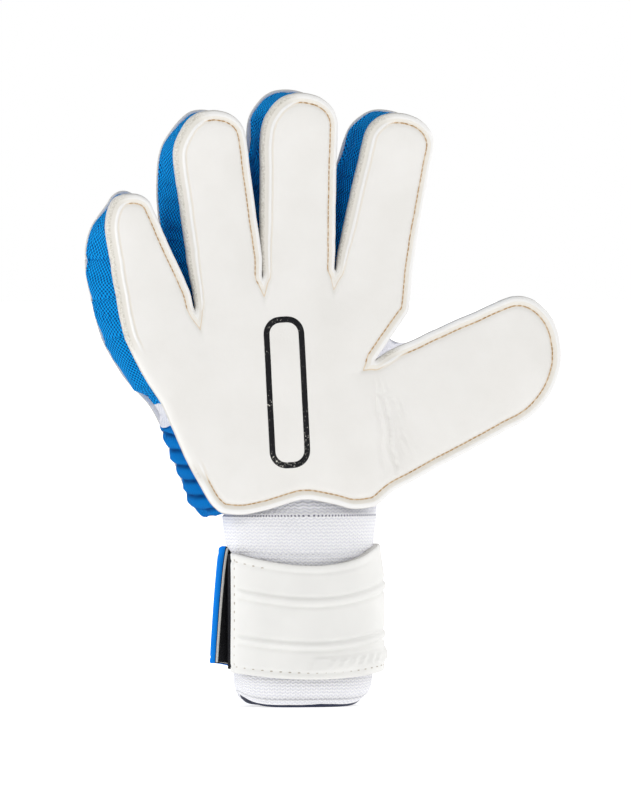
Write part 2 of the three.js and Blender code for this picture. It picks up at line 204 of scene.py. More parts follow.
# Below a notch the sewn lines meet in a point: the angle from straight down over which they run straight, and
# how far from the notch they start and end to be its sides run on.
NOTCH_POINT = math.radians(69)
THUMB_NOTCH_POINT = math.radians(55)
NOTCH_FADE = (34, 18)
# The lip's width against its usual width: narrower on the thumb's side of the fingers and at the notches.
NOTCH_LIP = 0.74
NOTCH_LIP_REACH = (6, 26)
FINGER_LIP = 0.82


def spline(points, per_span=8):
    points = np.array(points, float)
    padded = np.vstack([points[:1], points, points[-1:]])
    share = np.linspace(0, 1, per_span, endpoint=False)[:, None]
    spans = []
    for a, b, c, d in zip(padded, padded[1:], padded[2:], padded[3:]):
        bent = (2 * a - 5 * b + 4 * c - d) * share**2 + (3 * b - a - 3 * c + d) * share**3
        spans.append(0.5 * (2 * b + (c - a) * share + bent))
    return np.vstack(spans + [points[-1:]])


def resample(points, step=EDGE_STEP):
    points = np.asarray(points, float)
    travelled = travel(points)
    wanted = np.linspace(0, travelled[-1], max(2, round(travelled[-1] / step) + 1))
    return np.column_stack([np.interp(wanted, travelled, points[:, axis]) for axis in (0, 1)])


def smooth_loop(values, spread):
    """Gaussian smoothing round a closed loop of rows."""
    reach = int(spread * 4) + 1
    steps = np.arange(-reach, reach + 1)
    weights = np.exp(-0.5 * (steps / spread) ** 2)
    weights /= weights.sum()
    return sum(w * np.roll(values, -k, axis=0) for w, k in zip(weights, steps))


def loop_normals(points):
    along = np.roll(points, -1, axis=0) - np.roll(points, 1, axis=0)
    return unit(smooth_loop(np.column_stack([along[:, 1], -along[:, 0]]), 1.2))


def notch_direction(name):
    """The way a notch points, down between its two digits."""
    if name == "thumb":
        return np.array([-0.80, -0.60])
    neighbour = FINGER_NAMES[FINGER_NAMES.index(name) + 1]
    return -unit(DIGITS[name].along + DIGITS[neighbour].along)


def inside(points, polygon):
    result = np.zeros(len(points), bool)
    x, z = points.T
    for (x1, z1), (x2, z2) in zip(polygon, np.roll(polygon, -1, axis=0)):
        if z1 != z2:
            result ^= ((z1 > z) != (z2 > z)) & (x < (x2 - x1) * (z - z1) / (z2 - z1) + x1)
    return result


class Outline:
    """A closed anticlockwise edge whose points are labelled with the hand or a digit.

    cuts holds, for each digit, the pairs of edge points between which the sheets are divided."""

    def __init__(self, points, labels, cuts):
        self.points, self.labels, self.cuts = points, labels, cuts
        self.normals = loop_normals(points)
        self.arc = travel(points)
        self.length = self.arc[-1]
        self.tree = kdtree.KDTree(len(points))
        for i, (x, z) in enumerate(points):
            self.tree.insert((x, z, 0), i)
        self.tree.balance()
        self.lip = self.lip_widths()
        self.owners = [HAND, *((name, i) for name, pairs in cuts.items() for i in range(len(pairs)))]

    def lip_widths(self):
        on_finger = np.isin(self.labels, FINGER_NAMES)
        lip = 1 - (1 - FINGER_LIP) * smoothstep(self.normals[:, 0], 0.2, 0.8) * on_finger
        for bottom in NOTCHES.values():
            lip = np.minimum(lip, np.interp(size_of(self.points - bottom), NOTCH_LIP_REACH, [NOTCH_LIP, 1]))
        return smooth_loop(lip, 3)

    def owner_numbers(self, points):
        """Which of the owners each point lies on."""
        numbers = np.zeros(len(points), int)
        for number, (name, i) in enumerate(self.owners[1:], 1):
            right, left = self.cuts[name][i]
            numbers[inside(points, self.points[right:left + 1])] = number
        return numbers

    def gap(self, points):
        """The distance to the nearest edge point, and its index."""
        found = [self.tree.find((x, z, 0)) for x, z in points]
        return np.array([f[2] for f in found]), np.array([f[1] for f in found])

    def nearest(self, points):
        """For each point inside: the distance to the edge, the edge's normal there and its index.

        The distance is a share of the lip's width there. Below a notch it is to the notch's two sides run
        on, so that the sewn lines meet in a point."""
        index = self.gap(points)[1]
        count = len(self.points)
        best = np.full(len(points), np.inf)
        normal = np.zeros((len(points), 2))
        for first in ((index - 1) % count, index):
            second = (first + 1) % count
            start, span = self.points[first], self.points[second] - self.points[first]
            share = np.einsum("ij,ij->i", points - start, span) / np.einsum("ij,ij->i", span, span)
            share = np.clip(share, 0, 1)[:, None]
            gap = size_of(points - start - share * span)
            closer = gap < best
            best[closer] = gap[closer]
            mixed = self.normals[first] * (1 - share) + self.normals[second] * share
            normal[closer] = mixed[closer]
        for name, bottom in ALL_NOTCHES.items():
            offset = points - bottom
            far = np.maximum(size_of(offset), 1e-6)
            from_down = np.arccos(np.clip(offset @ notch_direction(name) / far, -1, 1))
            spread = THUMB_NOTCH_POINT if name == "thumb" else NOTCH_POINT
            pointed = np.cos(np.maximum(spread - from_down, 0))
            best = best * (1 + (pointed - 1) * smoothstep(far, *NOTCH_FADE))
        return best / self.lip[index], unit(normal), index

    def inner(self, points, margin):
        """The points that are inside and further than margin from the edge."""
        points = points[inside(points, self.points)]
        return points[self.nearest(points)[0] > margin]

    def from_notches(self):
        """How far along the edge each point is from the nearest notch between digits."""
        gaps = [np.abs(self.arc - self.arc[closest(self.points, bottom)]) for bottom in ALL_NOTCHES.values()]
        return np.min([np.minimum(gap, self.length - gap) for gap in gaps], axis=0)


def place_cuts(digit, points, labels):
    """Moves the edge points nearest to each cut of a digit onto it, and returns their indices in pairs."""
    mine = np.flatnonzero(labels == digit.name)
    across, along = digit.local(points[mine])
    pairs = []
    for cut in digit.cuts:
        pair = [mine[np.argmin(np.abs(along - cut) + 1000 * (across * side < 0))] for side in (1, -1)]
        for i in pair:
            points[i] += (cut - digit.local(points[i])[1]) * digit.along
        pairs.append(tuple(pair))
    return pairs


def glove_outline():
    stretches = [(HAND, spline(HEEL))]

    def add(label, *parts):
        stretches.append((label, np.vstack([stretches[-1][1][-1:], *map(np.atleast_2d, parts)])))

    crease_x, bottom, top = THUMB_CREASE
    add("thumb", (crease_x, bottom), DIGITS["thumb"].walls(0)[1:-1], (crease_x, top))
    add(HAND, THUMB_NOTCH, INDEX_CORNER)
    for name in FINGER_NAMES:
        add(name, DIGITS[name].walls(DIGITS[name].joints[0]))
        if name in NOTCHES:
            x, z = NOTCHES[name]
            add(name, (x + NOTCH_WIDTH / 2, z))
            add(HAND, (x - NOTCH_WIDTH / 2, z))
    add("little", LITTLE_SIDE[0])
    add(HAND, spline(LITTLE_SIDE)[1:])
    dense = [(label, resample(points)[:-1]) for label, points in stretches]
    labels = np.concatenate([[label] * len(points) for label, points in dense])
    points = smooth_loop(np.vstack([points for _, points in dense]), 1.1)
    for name, depth in TIP_CUT.items():
        digit = DIGITS[name]
        across, along = digit.local(points)
        corner = depth * hump(digit.length - along, *TIP_CUT_PLACE) * smoothstep(across, 2, -8)
        points = points + (corner * (labels == name))[:, None] * digit.across
    wobble = sum(amount * noise_at(points, size, seed) for amount, size, seed in WOBBLE)
    points = points + loop_normals(points) * wobble[:, None]
    cuts = {name: place_cuts(digit, points, labels) for name, digit in DIGITS.items()}
    # The thumb's first cut runs from the end of the heel to the bottom of its notch.
    heel_end = closest(points, HEEL[-1])
    web = np.flatnonzero(labels == HAND)
    web = web[(web > heel_end) & (web < np.flatnonzero(labels == "index")[0])]
    cuts["thumb"].insert(0, (heel_end, web[np.argmin(points[web, 0])]))
    return Outline(points, labels, cuts)


PALM_EDGE = glove_outline()

# ---- the back's outline ----

# How far the back's edge stands out from the palm's edge: all round, by the distance below the tip on the
# little finger's side of each finger, and by the height down the little finger's side of the hand.
BACK_PROUD = 0.3
SIDE_BELOW_TIP = (6, 16, 27, 41, 60)
SIDE_PROUD = {
    "index": (1.6, 3.2, 4.4, 4.8, 4.6),
    "middle": (1.8, 1.4, 1.2, 1.6, 1.6),
    "ring": (-0.8, -0.4, 3.0, 5.6, 6.0),
    "thumb": (-4.4, -4.4, -4.4, -4.4, -4.4),
}
OUTER_Z = (92, 96, 104, 119, 128, 137, 143, 151, 160, 173, 190, 202, 212, 221, 230, 236, 243)
OUTER_PROUD = (3.0, 2.4, 0.9, -0.2, -0.8, -1.2, -0.6, 0.9, 3.4, 4.8, 6.4, 7.0, 7.4, 6.2, 1.2, -3.2, -5.0)
LITTLE_TIP_Z = 225
# Between the thumb and the index finger the back runs out into a web, so its edge there is an arc.
WEB_REACH = 18
WEB_SPREAD = {"thumb": 30, "index": 50}
WEB_DIRECTION = np.array([0.6, 0.8])
# The backs of the digits are cut short, because the curl brings them up past the palm's edge.
BACK_SHORT = {"thumb": 2.2, "index": 2.6, "middle": 2.4, "ring": 3.6, "little": 1.6}
# The side mesh ends at the first height and the gathered elastic begins at the second. The elastic runs
# on round the corner of the heel by this many edge points.
MESH_END = 146
ELASTIC_TOP = 137
ELASTIC_WRAP = 4


def outer_side():
    """The edge points from the little finger's tip down to the heel, and just round its corner."""
    labels = PALM_EDGE.labels
    after = np.arange(len(labels)) > np.flatnonzero(labels == "little")[0]
    outer = after & ((labels == "little") | (labels == HAND)) & (PALM_EDGE.normals[:, 0] < 0.35)
    outer[:ELASTIC_WRAP] = True
    return outer


def back_outline():
    """The back foam's edge. Its points pair up with the palm's, so that a wall can join them."""
    edge = PALM_EDGE
    labels, normals = edge.labels, edge.normals
    proud = np.full(len(labels), BACK_PROUD)
    for name, values in SIDE_PROUD.items():
        digit = DIGITS[name]
        side = (labels == name) & (normals @ digit.across < -0.3)
        proud[side] = np.interp(digit.length - digit.local(edge.points[side])[1], SIDE_BELOW_TIP, values)
    # The sides bulge freely along the fingers, and not at all in the notches.
    proud *= smoothstep(edge.from_notches(), 3, 30)
    outer = outer_side()
    proud[outer] = np.interp(edge.points[outer, 1], OUTER_Z, OUTER_PROUD)
    on_top = outer & (normals[:, 0] > -0.5) & (edge.points[:, 1] > LITTLE_TIP_Z)
    proud[on_top] *= smoothstep(normals[on_top, 0], 0.1, -0.5)
    proud = smooth_loop(proud, 2.5)
    from_web = edge.arc - edge.arc[closest(edge.points, THUMB_NOTCH)]
    spread = np.where(from_web > 0, WEB_SPREAD["index"], WEB_SPREAD["thumb"])
    reach = WEB_REACH * np.clip(1 - np.abs(from_web) / spread, 0, 1) ** 2
    points = smooth_loop(edge.points + normals * proud[:, None] + reach[:, None] * WEB_DIRECTION, 1.5)
    for name, digit in DIGITS.items():
        mine = labels == name
        along = digit.local(points[mine])[1]
        short = BACK_SHORT[name] * smoothstep(along, digit.joints[-1], digit.length - 4)
        points[mine] -= short[:, None] * digit.along
        for cut, pair in zip(digit.cuts, edge.cuts[name][-len(digit.cuts):]):
            for i in pair:
                points[i] += (cut - digit.local(points[i])[1]) * digit.along
    return Outline(points, labels, edge.cuts)


BACK_EDGE = back_outline()

# ---- pieces and the joints they bend across ----

JOINTS = {joint["name"]: joint for joint in frame["joints"]}
# Half the length over which a piece bends, in metres: across the thumb's root, and up the wrist's knit.
THUMB_ROOT_BEND = np.array([0.010, 0, 0])
WRIST_BEND = np.array([0, 0, 0.0047])


def piece_name(kind, owner):
    """The name of a piece on the hand or on a (digit, stretch number)."""
    if owner == HAND:
        return f"{HAND}_{kind}"
    name, i = owner
    return f"{name}_{kind}_{DIGITS[name].stretches[i]}"


def bend_of(owner):
    """The joint that an owner bends at, and half the length of the bend as a vector."""
    if owner in JOINTS:
        return JOINTS[owner], WRIST_BEND
    name, i = owner
    digit = DIGITS[name]
    joint = JOINTS[digit.joint_names[i]]
    order = i - 1 if name == "thumb" else i
    if order < 0:
        return joint, THUMB_ROOT_BEND
    bend = math.radians(sum(digit.curl[:order]) + digit.curl[order] / 2)
    x, z = digit.along * math.cos(bend)
    return joint, np.array([x, -math.sin(bend), z]) * digit.zones[order] / 1000


def attach(piece, owner, slot, *nodes):
    """Hides the CAD nodes a piece stands for, and parents the piece to its body when owner is a body's name.
    Otherwise owner is what bend_of() takes, and the piece's transform is only baked in.
    """
    if nodes:
        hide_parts(*nodes)
    if isinstance(owner, str) and owner not in JOINTS:
        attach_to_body(piece, owner)
        return
    joint, reach = bend_of(owner)
    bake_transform(piece)


def mesh_object(name, points, faces, materials, face_materials=None, uv=None, attributes=None, sharp=None):
    """A smooth mesh from millimetre points. sharp marks vertices whose shared edges stay sharp."""
    mesh = bpy.data.meshes.new(name)
    mesh.from_pydata((np.asarray(points, float) / 1000).tolist(), [], faces)
    for material in materials:
        mesh.materials.append(material)
    if face_materials is not None:
        mesh.polygons.foreach_set("material_index", np.asarray(face_materials, np.int32))
    mesh.polygons.foreach_set("use_smooth", np.ones(len(mesh.polygons), bool))
    if uv is not None:
        corners = np.zeros(len(mesh.loops), np.int32)
        mesh.loops.foreach_get("vertex_index", corners)
        layer = mesh.uv_layers.new(name="UVMap")
        layer.data.foreach_set("uv", np.asarray(uv, np.float32)[corners].ravel())
    for key, values in (attributes or {}).items():
        attribute = mesh.attributes.new(key, "FLOAT", "POINT")
        attribute.data.foreach_set("value", np.asarray(values, np.float32))
    if sharp is not None:
        edges = np.zeros(len(mesh.edges) * 2, np.int32)
        mesh.edges.foreach_get("vertices", edges)
        groups = np.asarray(sharp)[edges.reshape(-1, 2)]
        attribute = mesh.attributes.new("sharp_edge", "BOOLEAN", "EDGE")
        attribute.data.foreach_set("value", (groups[:, 0] == groups[:, 1]) & (groups[:, 0] > 0))
    mesh.update()
    piece = bpy.data.objects.new(name, mesh)
    bpy.context.scene.collection.objects.link(piece)
    return piece


# ---- foam sheets ----

# Distances from the edge at which a sheet has rings of points, and every how many edge points.
RINGS = (
    (0.7, 1), (1.5, 1), (2.4, 1), (3.2, 1), (3.9, 1), (4.4, 1),
    (4.9, 1), (5.6, 1), (6.6, 2), (8.2, 2), (10.4, 2),
)
# A ring point is kept if it is this share of its distance from every part of the edge, and a free point if it
# is this far from every cut.
RING_CLEARANCE = 0.93
CUT_CLEARANCE = 0.45
RIM_PUSH = 0.3


def cut_line(start, end, spacing):
    """Points strictly between two edge points, closer together near the edges."""
    length = size_of(end - start)
    near = [ring for ring, _ in RINGS if ring < length / 2]
    middle = np.linspace(near[-1], length - near[-1], max(2, round((length - 2 * near[-1]) / spacing) + 1))
    at = np.concatenate([near[:-1], middle, length - np.array(near[:-1])[::-1]])
    return start + np.outer(at / length, end - start)


def segment_distance(points, start, end):
    span = end - start
    share = np.clip((points - start) @ span / (span @ span), 0, 1)
    return size_of(points - start - share[:, None] * span)


def hex_grid(low, high, spacing):
    rows = np.arange(low[1], high[1], spacing * 0.866)
    columns = np.arange(low[0], high[0], spacing)
    shifted = [columns + spacing / 2 * (i % 2) for i in range(len(rows))]
    return np.column_stack([np.concatenate(shifted), np.repeat(rows, len(columns))])


class Sheet:
    """A triangulated outline, divided into the hand and the stretches of the digits.

    fine_boxes are (low corner, high corner, spacing, margin) of places whose inner points lie closer."""

    def __init__(self, outline, spacing, fine_boxes=()):
        self.outline = outline
        edge = outline.points
        count = total = len(edge)
        edges = [(i, (i + 1) % count) for i in range(count)]
        chains, cuts = [edge], []
        for right, left in (pair for pairs in outline.cuts.values() for pair in pairs):
            between = cut_line(edge[right], edge[left], spacing)
            chain = [right, *range(total, total + len(between)), left]
            edges += zip(chain, chain[1:])
            chains.append(between)
            cuts.append((edge[right], edge[left]))
            total += len(between)
        free = self.free_points(spacing, fine_boxes)
        for cut in cuts:
            free = free[segment_distance(free, *cut) > CUT_CLEARANCE]
        made = delaunay_2d_cdt([Vector(p) for p in np.vstack(chains + [free])], edges, [], 1, 1e-5)
        self.points = np.array([tuple(v) for v in made[0]])
        self.triangles = np.array([tuple(face) for face in made[2]])
        self.on_cut = np.min([segment_distance(self.points, *cut) for cut in cuts], axis=0) < 1e-3
        self.distance, self.normal, self.index = outline.nearest(self.points)
        self.owner = outline.owner_numbers(self.points[self.triangles].mean(1))

    def free_points(self, spacing, fine_boxes):
        """Rings of points inside the edge, and an even grid within them."""
        outline = self.outline
        edge, inward = outline.points, outline.normals * outline.lip[:, None]
        rings = []
        for ring, every in RINGS:
            points = edge[::every] - inward[::every] * ring
            points = points[inside(points, edge)]
            near, index = outline.gap(points)
            rings.append(points[near > RING_CLEARANCE * ring * outline.lip[index]])
        rings = np.vstack(rings)
        grid = outline.inner(hex_grid(edge.min(0), edge.max(0), spacing), RINGS[-1][0] + 0.5 * spacing)
        for low, high, fine_spacing, margin in fine_boxes:
            grid = grid[~np.all((grid > low) & (grid < high), axis=1)]
            boxed = np.all((rings > low) & (rings < high), axis=1)
            rings = rings[~(boxed & (outline.nearest(rings)[0] > margin))]
            grid = np.vstack([grid, outline.inner(hex_grid(low, high, fine_spacing), margin)])
        return np.vstack([rings, grid])

    def build(self, kind, hand_node, slot, front, back, materials, attributes):
        """One closed piece per owner, each for its CAD node. front and back are the y of every point."""
        for number, owner in enumerate(self.outline.owners):
            used, local = np.unique(self.triangles[self.owner == number], return_inverse=True)
            local = local.reshape(-1, 3)
            count = len(used)
            directed = np.vstack([local[:, [0, 1]], local[:, [1, 2]], local[:, [2, 0]]])
            present = {tuple(edge) for edge in directed}
            border = np.array([edge for edge in directed if (edge[1], edge[0]) not in present])
            rim = np.unique(border)
            rim_row = {v: 2 * count + i for i, v in enumerate(rim)}
            push = np.where(self.distance[used][rim] < 0.05, RIM_PUSH, 0.0)[:, None]
            plane, front_y, back_y = self.points[used], front[used], back[used]
            flat = np.vstack([plane, plane, plane[rim] + self.normal[used][rim] * push])
            points = stand(flat, np.concatenate([front_y, back_y, (front_y[rim] + back_y[rim]) / 2]))
            if owner != HAND:
                points = DIGITS[owner[0]].curled(points)
            faces = local.tolist() + (local[:, ::-1] + count).tolist()
            for a, b in border:
                mid_a, mid_b = rim_row[a], rim_row[b]
                faces += [[b, a, mid_a, mid_b], [mid_b, mid_a, a + count, b + count]]
            slots = np.repeat([0, 1, 2], [len(local), len(local), 2 * len(border)])
            cut = self.on_cut[used]
            sharp = np.concatenate([np.where(cut, 1, 0), np.where(cut, 2, 0), np.zeros(len(rim))])
            values = {key: np.concatenate([v[used], v[used], v[used][rim]]) for key, v in attributes.items()}
            name = piece_name(kind, owner)
            piece = mesh_object(name, points, faces, materials, slots, flat, values, sharp)
            attach(piece, owner, slot, hand_node if owner == HAND else name)


# Depth of the palm foam's outer face below flat, against the distance from its edge. The plain edge has a
# proud lip and a sewn groove. On the little finger's side of each digit the edge is raw and rolls away
# behind a ridge. Down the little finger's side of the palm it is tucked under, without a lip.
EDGE_AT = (0, 0.7, 1.5, 2.4, 3.2, 3.9, 4.4, 4.9, 5.6, 6.6, 8.2, 10.4, 14, 19, 30)
PLAIN_EDGE = (1.0, 0.3, 0.05, 0.05, 0.35, 1.15, 1.65, 1.2, 0.4, 0.08, -0.15, -0.35, -0.7, -0.95, -1.2)
ROLLED_EDGE = (3.2, 2.4, 1.9, 1.6, 1.2, 0.45, 0.25, 0.75, 0.6, 0.05, -0.2, -0.4, -0.75, -0.95, -1.2)
TUCKED_EDGE = (3.4, 2.2, 1.5, 1.0, 0.7, 0.5, 0.4, 0.3, 0.15, 0.0, -0.2, -0.4, -0.75, -0.95, -1.2)
FOAM_AT_EDGE = (3.0, 3.2, 3.2, 3.0, 2.6, 2.2, 2.1, 2.4, 3.2, 4.4, 5.2, 5.4, 5.4, 5.4, 5.4)
STITCH_INSET = 4.4
TUCK = {"top": 171, "bottom": 118, "fade": 6, "x": -40}
PALM_SPACING = 3.0
CREASE_BOX = ((28, 98), (54, 150), 1.3, 6)
# Creases fanning over the root of the thumb: x at the bottom and top, bottom and top heights, depth.
CREASES = (
    (42.0, 33.3, 112, 158, 1.35),
    (36.0, 30.0, 108, 160, 0.75),
    (46.3, 39.6, 120, 144, 0.8),
    (47.0, 40.8, 136, 156, 0.7),
    (39.2, 31.6, 104, 148, 0.6),
    (50.5, 37.0, 118, 157, 0.7),
    (44.0, 36.2, 106, 132, 0.55),
)
CREASE_WIDTH = 0.75
# The back foam's outer face drops to a thin sewn edge. Its flex grooves cross each digit at the joints.
BACK_SPACING = 1.35
BACK_EDGE_AT = (0, 0.7, 1.5, 2.4, 3.2, 3.9, 4.4, 4.9, 5.6, 6.6, 8.2, 10.4, 16)
BACK_THICKNESS = (1.8, 2.5, 2.8, 2.8, 2.5, 1.9, 1.6, 1.9, 2.9, 3.7, 4.3, 4.7, 5.0)
FLEX_SPACING = 5.6
FLEX_DEPTH = 1.9
FLEX_WIDTH = 1.25
FLEX_BOW = 0.007
FLEX_INSET = 8.5


def edge_shares():
    """How far each edge point is rolled and how far it is tucked under."""
    x, z = PALM_EDGE.points.T
    above = TUCK["bottom"] - TUCK["fade"]
    tucked = smoothstep(z, TUCK["top"] + TUCK["fade"], TUCK["top"]) * (x < TUCK["x"])
    tucked *= smoothstep(z, above, TUCK["bottom"])
    rolled = smoothstep(-PALM_EDGE.normals[:, 0], 0.15, 0.5) * (z > above) * (PALM_EDGE.labels != "thumb")
    rolled *= smoothstep(PALM_EDGE.from_notches(), 0, 5)
    tucked, rolled = smooth_loop(tucked, 2), smooth_loop(rolled, 2)
    return rolled * (1 - tucked), tucked


ROLLED, TUCKED = edge_shares()


def crease_depth(points):
    depth = np.zeros(len(points))
    x, z = points.T
    drift = noise_at(points, 16, 9.0) * 1.6 + noise_at(points, 5, 8.0) * 0.4
    for x_low, x_high, bottom, top, deep in CREASES:
        off = x - np.interp(z, [bottom, top], [x_low, x_high]) - drift
        ends = smoothstep(z, bottom - 4, bottom + 10) * smoothstep(z, top + 4, top - 12)
        ridge = hump(off, 2 * CREASE_WIDTH, 1.3 * CREASE_WIDTH)
        depth += deep * ends * (hump(off, 0, CREASE_WIDTH) - 0.5 * ridge)
    return depth


def palm_front(points, distance, index):
    """The palm foam's outer face, as y."""
    rolled, tucked = ROLLED[index], TUCKED[index]
    shares = ((PLAIN_EDGE, 1 - rolled - tucked), (ROLLED_EDGE, rolled), (TUCKED_EDGE, tucked))
    edge = sum(np.interp(distance, EDGE_AT, profile) * share for profile, share in shares)
    soft = (noise_at(points, 30, 1.0) * 0.55 + noise_at(points, 11, 2.0) * 0.16) * smoothstep(distance, 6, 16)
    lip = noise_at(points, 6, 4.0) * 0.22 * (1 - smoothstep(distance, 3, 6))
    return PALM_Y + edge + soft + lip + crease_depth(points) * smoothstep(distance, 5, 9)


def palm_back(points, distance, index):
    return palm_front(points, distance, index) + np.interp(distance, EDGE_AT, FOAM_AT_EDGE)


def back_inner(points):
    """The inner face of the back foam: it leans out to the wrist and over the thumb."""
    x, z = points.T
    hand = np.interp(z, [WRIST_Z, KNUCKLE_Z], [WRIST_BACK_Y, FINGER_BACK_Y])
    notch_x, notch_z = THUMB_NOTCH
    on_thumb = smoothstep(x, 26, 56) * smoothstep(z - notch_z - (x - notch_x) * 1.2, 3, -3)
    return hand * (1 - on_thumb) + THUMB_BACK_Y * on_thumb


def flex_grooves(points, distance):
    depth = np.zeros(len(points))
    for digit in DIGITS.values():
        across, along = digit.local(points)
        on_digit = (np.abs(across) < digit.half_width(along)) & (along > 5)
        for line in (joint + step * FLEX_SPACING for joint in digit.joints for step in (-1, 0, 1)):
            groove = hump(along, line + FLEX_BOW * across**2, FLEX_WIDTH)
            depth = np.maximum(depth, FLEX_DEPTH * groove * on_digit)
    return depth * smoothstep(distance, FLEX_INSET - 2, FLEX_INSET + 0.5)


def build_sheets(materials):
    lining, raw_edge = materials["lining"], materials["raw_edge"]
    notches = [((x - 7, z - 14), (x + 7, z + 1), 0.75, 1.2) for x, z in ALL_NOTCHES.values()]
    palm = Sheet(PALM_EDGE, PALM_SPACING, [CREASE_BOX, *notches])
    place = (palm.points, palm.distance, palm.index)
    rolled, tucked = ROLLED[palm.index], TUCKED[palm.index]
    attributes = {"rolled": rolled, "plain": 1 - rolled - tucked, "from_edge": palm.distance}
    palm.build("palm_foam", "palm_foam", "palm_latex", palm_front(*place), palm_back(*place),
               [materials["latex"], lining, raw_edge], attributes)

    rear = Sheet(BACK_EDGE, BACK_SPACING)
    grooves = flex_grooves(rear.points, rear.distance)
    thickness = np.interp(rear.distance, BACK_EDGE_AT, BACK_THICKNESS) - grooves
    thickness += noise_at(rear.points, 22, 6.0) * 0.3 * smoothstep(rear.distance, 5, 12)
    inner = back_inner(rear.points) + np.interp(rear.distance, [0, 5], [-0.5, 0])
    # The groove attribute paints shade into the flex grooves.
    attributes = {"from_edge": rear.distance, "groove": np.clip(grooves / FLEX_DEPTH, 0, 1)}
    # The back sheet faces the other way, so its inner face is the builder's front.
    rear.build("back_foam", "backhand_foam", "back_foam", inner, inner + thickness,
               [lining, materials["back_foam"], raw_edge], attributes)


# ---- surfaces made of grids ----


def strip_faces(columns, rows):
    index = np.arange(columns * rows).reshape(columns, rows)
    corners = (index[:-1, :-1], index[1:, :-1], index[1:, 1:], index[:-1, 1:])
    return np.stack(corners, axis=-1).reshape(-1, 4).tolist()


def ring_faces(columns, rows):
    """Faces of a grid that closes on itself both ways."""
    index = np.arange(columns * rows).reshape(columns, rows)
    corners = (index, np.roll(index, -1, 1), np.roll(index, (-1, -1), (0, 1)), np.roll(index, -1, 0))
    return np.stack(corners, axis=-1).reshape(-1, 4).tolist()


def grid_uv(across, up):
    return np.dstack(np.meshgrid(across, up, indexing="ij")).reshape(-1, 2)


def closed_shell(outer, inner, rim_slot=0):
    """A closed surface of two matching grids: slot 0 outside, 1 inside and rim_slot round the rim."""
    columns, rows, _ = outer.shape
    count = columns * rows
    under = strip_faces(columns, rows)
    index = np.arange(count).reshape(columns, rows)
    loop = np.concatenate([index[:, 0], index[-1, 1:], index[-2::-1, -1], index[0, -2:0:-1]])
    faces = [face[::-1] for face in under] + [[i + count for i in face] for face in under]
    faces += [[a, b, b + count, a + count] for a, b in zip(loop, np.roll(loop, -1))]
    slots = np.repeat([0, 1, rim_slot], [len(under), len(under), len(loop)])
    return np.vstack([outer.reshape(-1, 3), inner.reshape(-1, 3)]), faces, slots


# ---- fabric walls between the palm and the back ----

WALL_ROWS = 15
# How far inside the edge a wall runs, against its share of the way from the palm to the back.
WALL_AT = (0, 0.12, 0.3, 0.5, 0.75, 0.92, 1)
WALL_INSET = (3.8, 3.0, 2.1, 1.5, 1.3, 1.3, 1.7)
WALL_THICKNESS = 1.0
# The outer side bulges, but for the short tuck between its mesh and its elastic.
OUTER_BULGE = 2.6
BULGE_Z = (137, 141, 150, 156)
BULGE_SHARE = (1, -0.9, -0.9, 1)
TIP_PIPING = 2.3
# Slanting gathers of the elastic panel: their pitch, height, slant and bow over the panel's width.
GATHER = {"pitch": 8.0, "height": 2.8, "slant": 5, "bow": 4}
CLOTH_FRAMES = 14
CLOTH_LIMIT = 1.3
CLOTH = {
    "quality": 4, "mass": 0.05, "tension_stiffness": 12, "compression_stiffness": 12, "shear_stiffness": 4,
    "bending_stiffness": 0.02, "vertex_group_mass": "pins", "shrink_min": -0.05, "shrink_max": -0.05,
}


def wall_grid(first, last):
    """Points of the wall over edge points first to last: rows run from the palm seam to the back seam."""
    edge = PALM_EDGE
    columns = np.arange(first, last + 1) % len(edge.points)
    at = np.linspace(0, 1, WALL_ROWS)
    points, normals = edge.points[columns], edge.normals[columns]
    outer = smooth_loop(outer_side() * 1.0, 4)[columns] * smoothstep(points[:, 1], 226, 205)
    bulge = OUTER_BULGE * outer * np.interp(points[:, 1], BULGE_Z, BULGE_SHARE)
    upper = np.isin(edge.labels[columns], ("middle", "ring")) * smoothstep(normals[:, 1], 0.1, 0.5)
    piping = smoothstep(at, 0.28, 0.1) * smoothstep(at, 0.0, 0.08)
    inset = np.interp(at, WALL_AT, WALL_INSET) - bulge[:, None] * np.sin(at * math.pi) ** 0.6
    inset = inset - (TIP_PIPING * upper)[:, None] * piping
    to_back = (BACK_EDGE.points[columns] - points)[:, None, :] * smoothstep(at, 0.1, 1)[None, :, None]
    plane = points[:, None, :] + to_back - normals[:, None, :] * inset[:, :, None]
    seam = points - normals * WALL_INSET[0]
    start = palm_back(seam, np.full(len(seam), WALL_INSET[0]), columns) - 0.5
    end = back_inner(points) + 0.4
    return np.dstack([plane[:, :, 0], start[:, None] + (end - start)[:, None] * at, plane[:, :, 1]])


def wall_ranges():
    """(owner, kind, first, last) for the stretches of wall, in order along the edge."""
    cuts = PALM_EDGE.cuts
    order = ("thumb", *FINGER_NAMES)
    ranges = []
    for name, following in zip(order, (*order[1:], None)):
        rights, lefts = zip(*cuts[name])
        last = len(rights) - 1
        ranges += [((name, i), "gusset_right", rights[i], rights[i + 1]) for i in range(last)]
        ranges.append(((name, last), "gusset", rights[last], lefts[last]))
        ranges += [((name, i), "gusset_left", lefts[i + 1], lefts[i]) for i in reversed(range(last))]
        if following:
            kind = "thumb_web" if name == "thumb" else f"{name}_notch_wall"
            ranges.append((HAND, kind, lefts[0], cuts[following][0][0]))
    count = len(PALM_EDGE.points)
    side = np.arange(cuts["little"][0][1], count)
    heights = PALM_EDGE.points[side, 1]
    ends = [side[np.argmin(np.abs(heights - z))] for z in (MESH_END, ELASTIC_TOP)]
    stops = (side[0], *ends, count + ELASTIC_WRAP)
    kinds = ("side_gusset", "side_tuck", "stretch_panel")
    return ranges + [(HAND, *stretch) for stretch in zip(kinds, stops, stops[1:])]


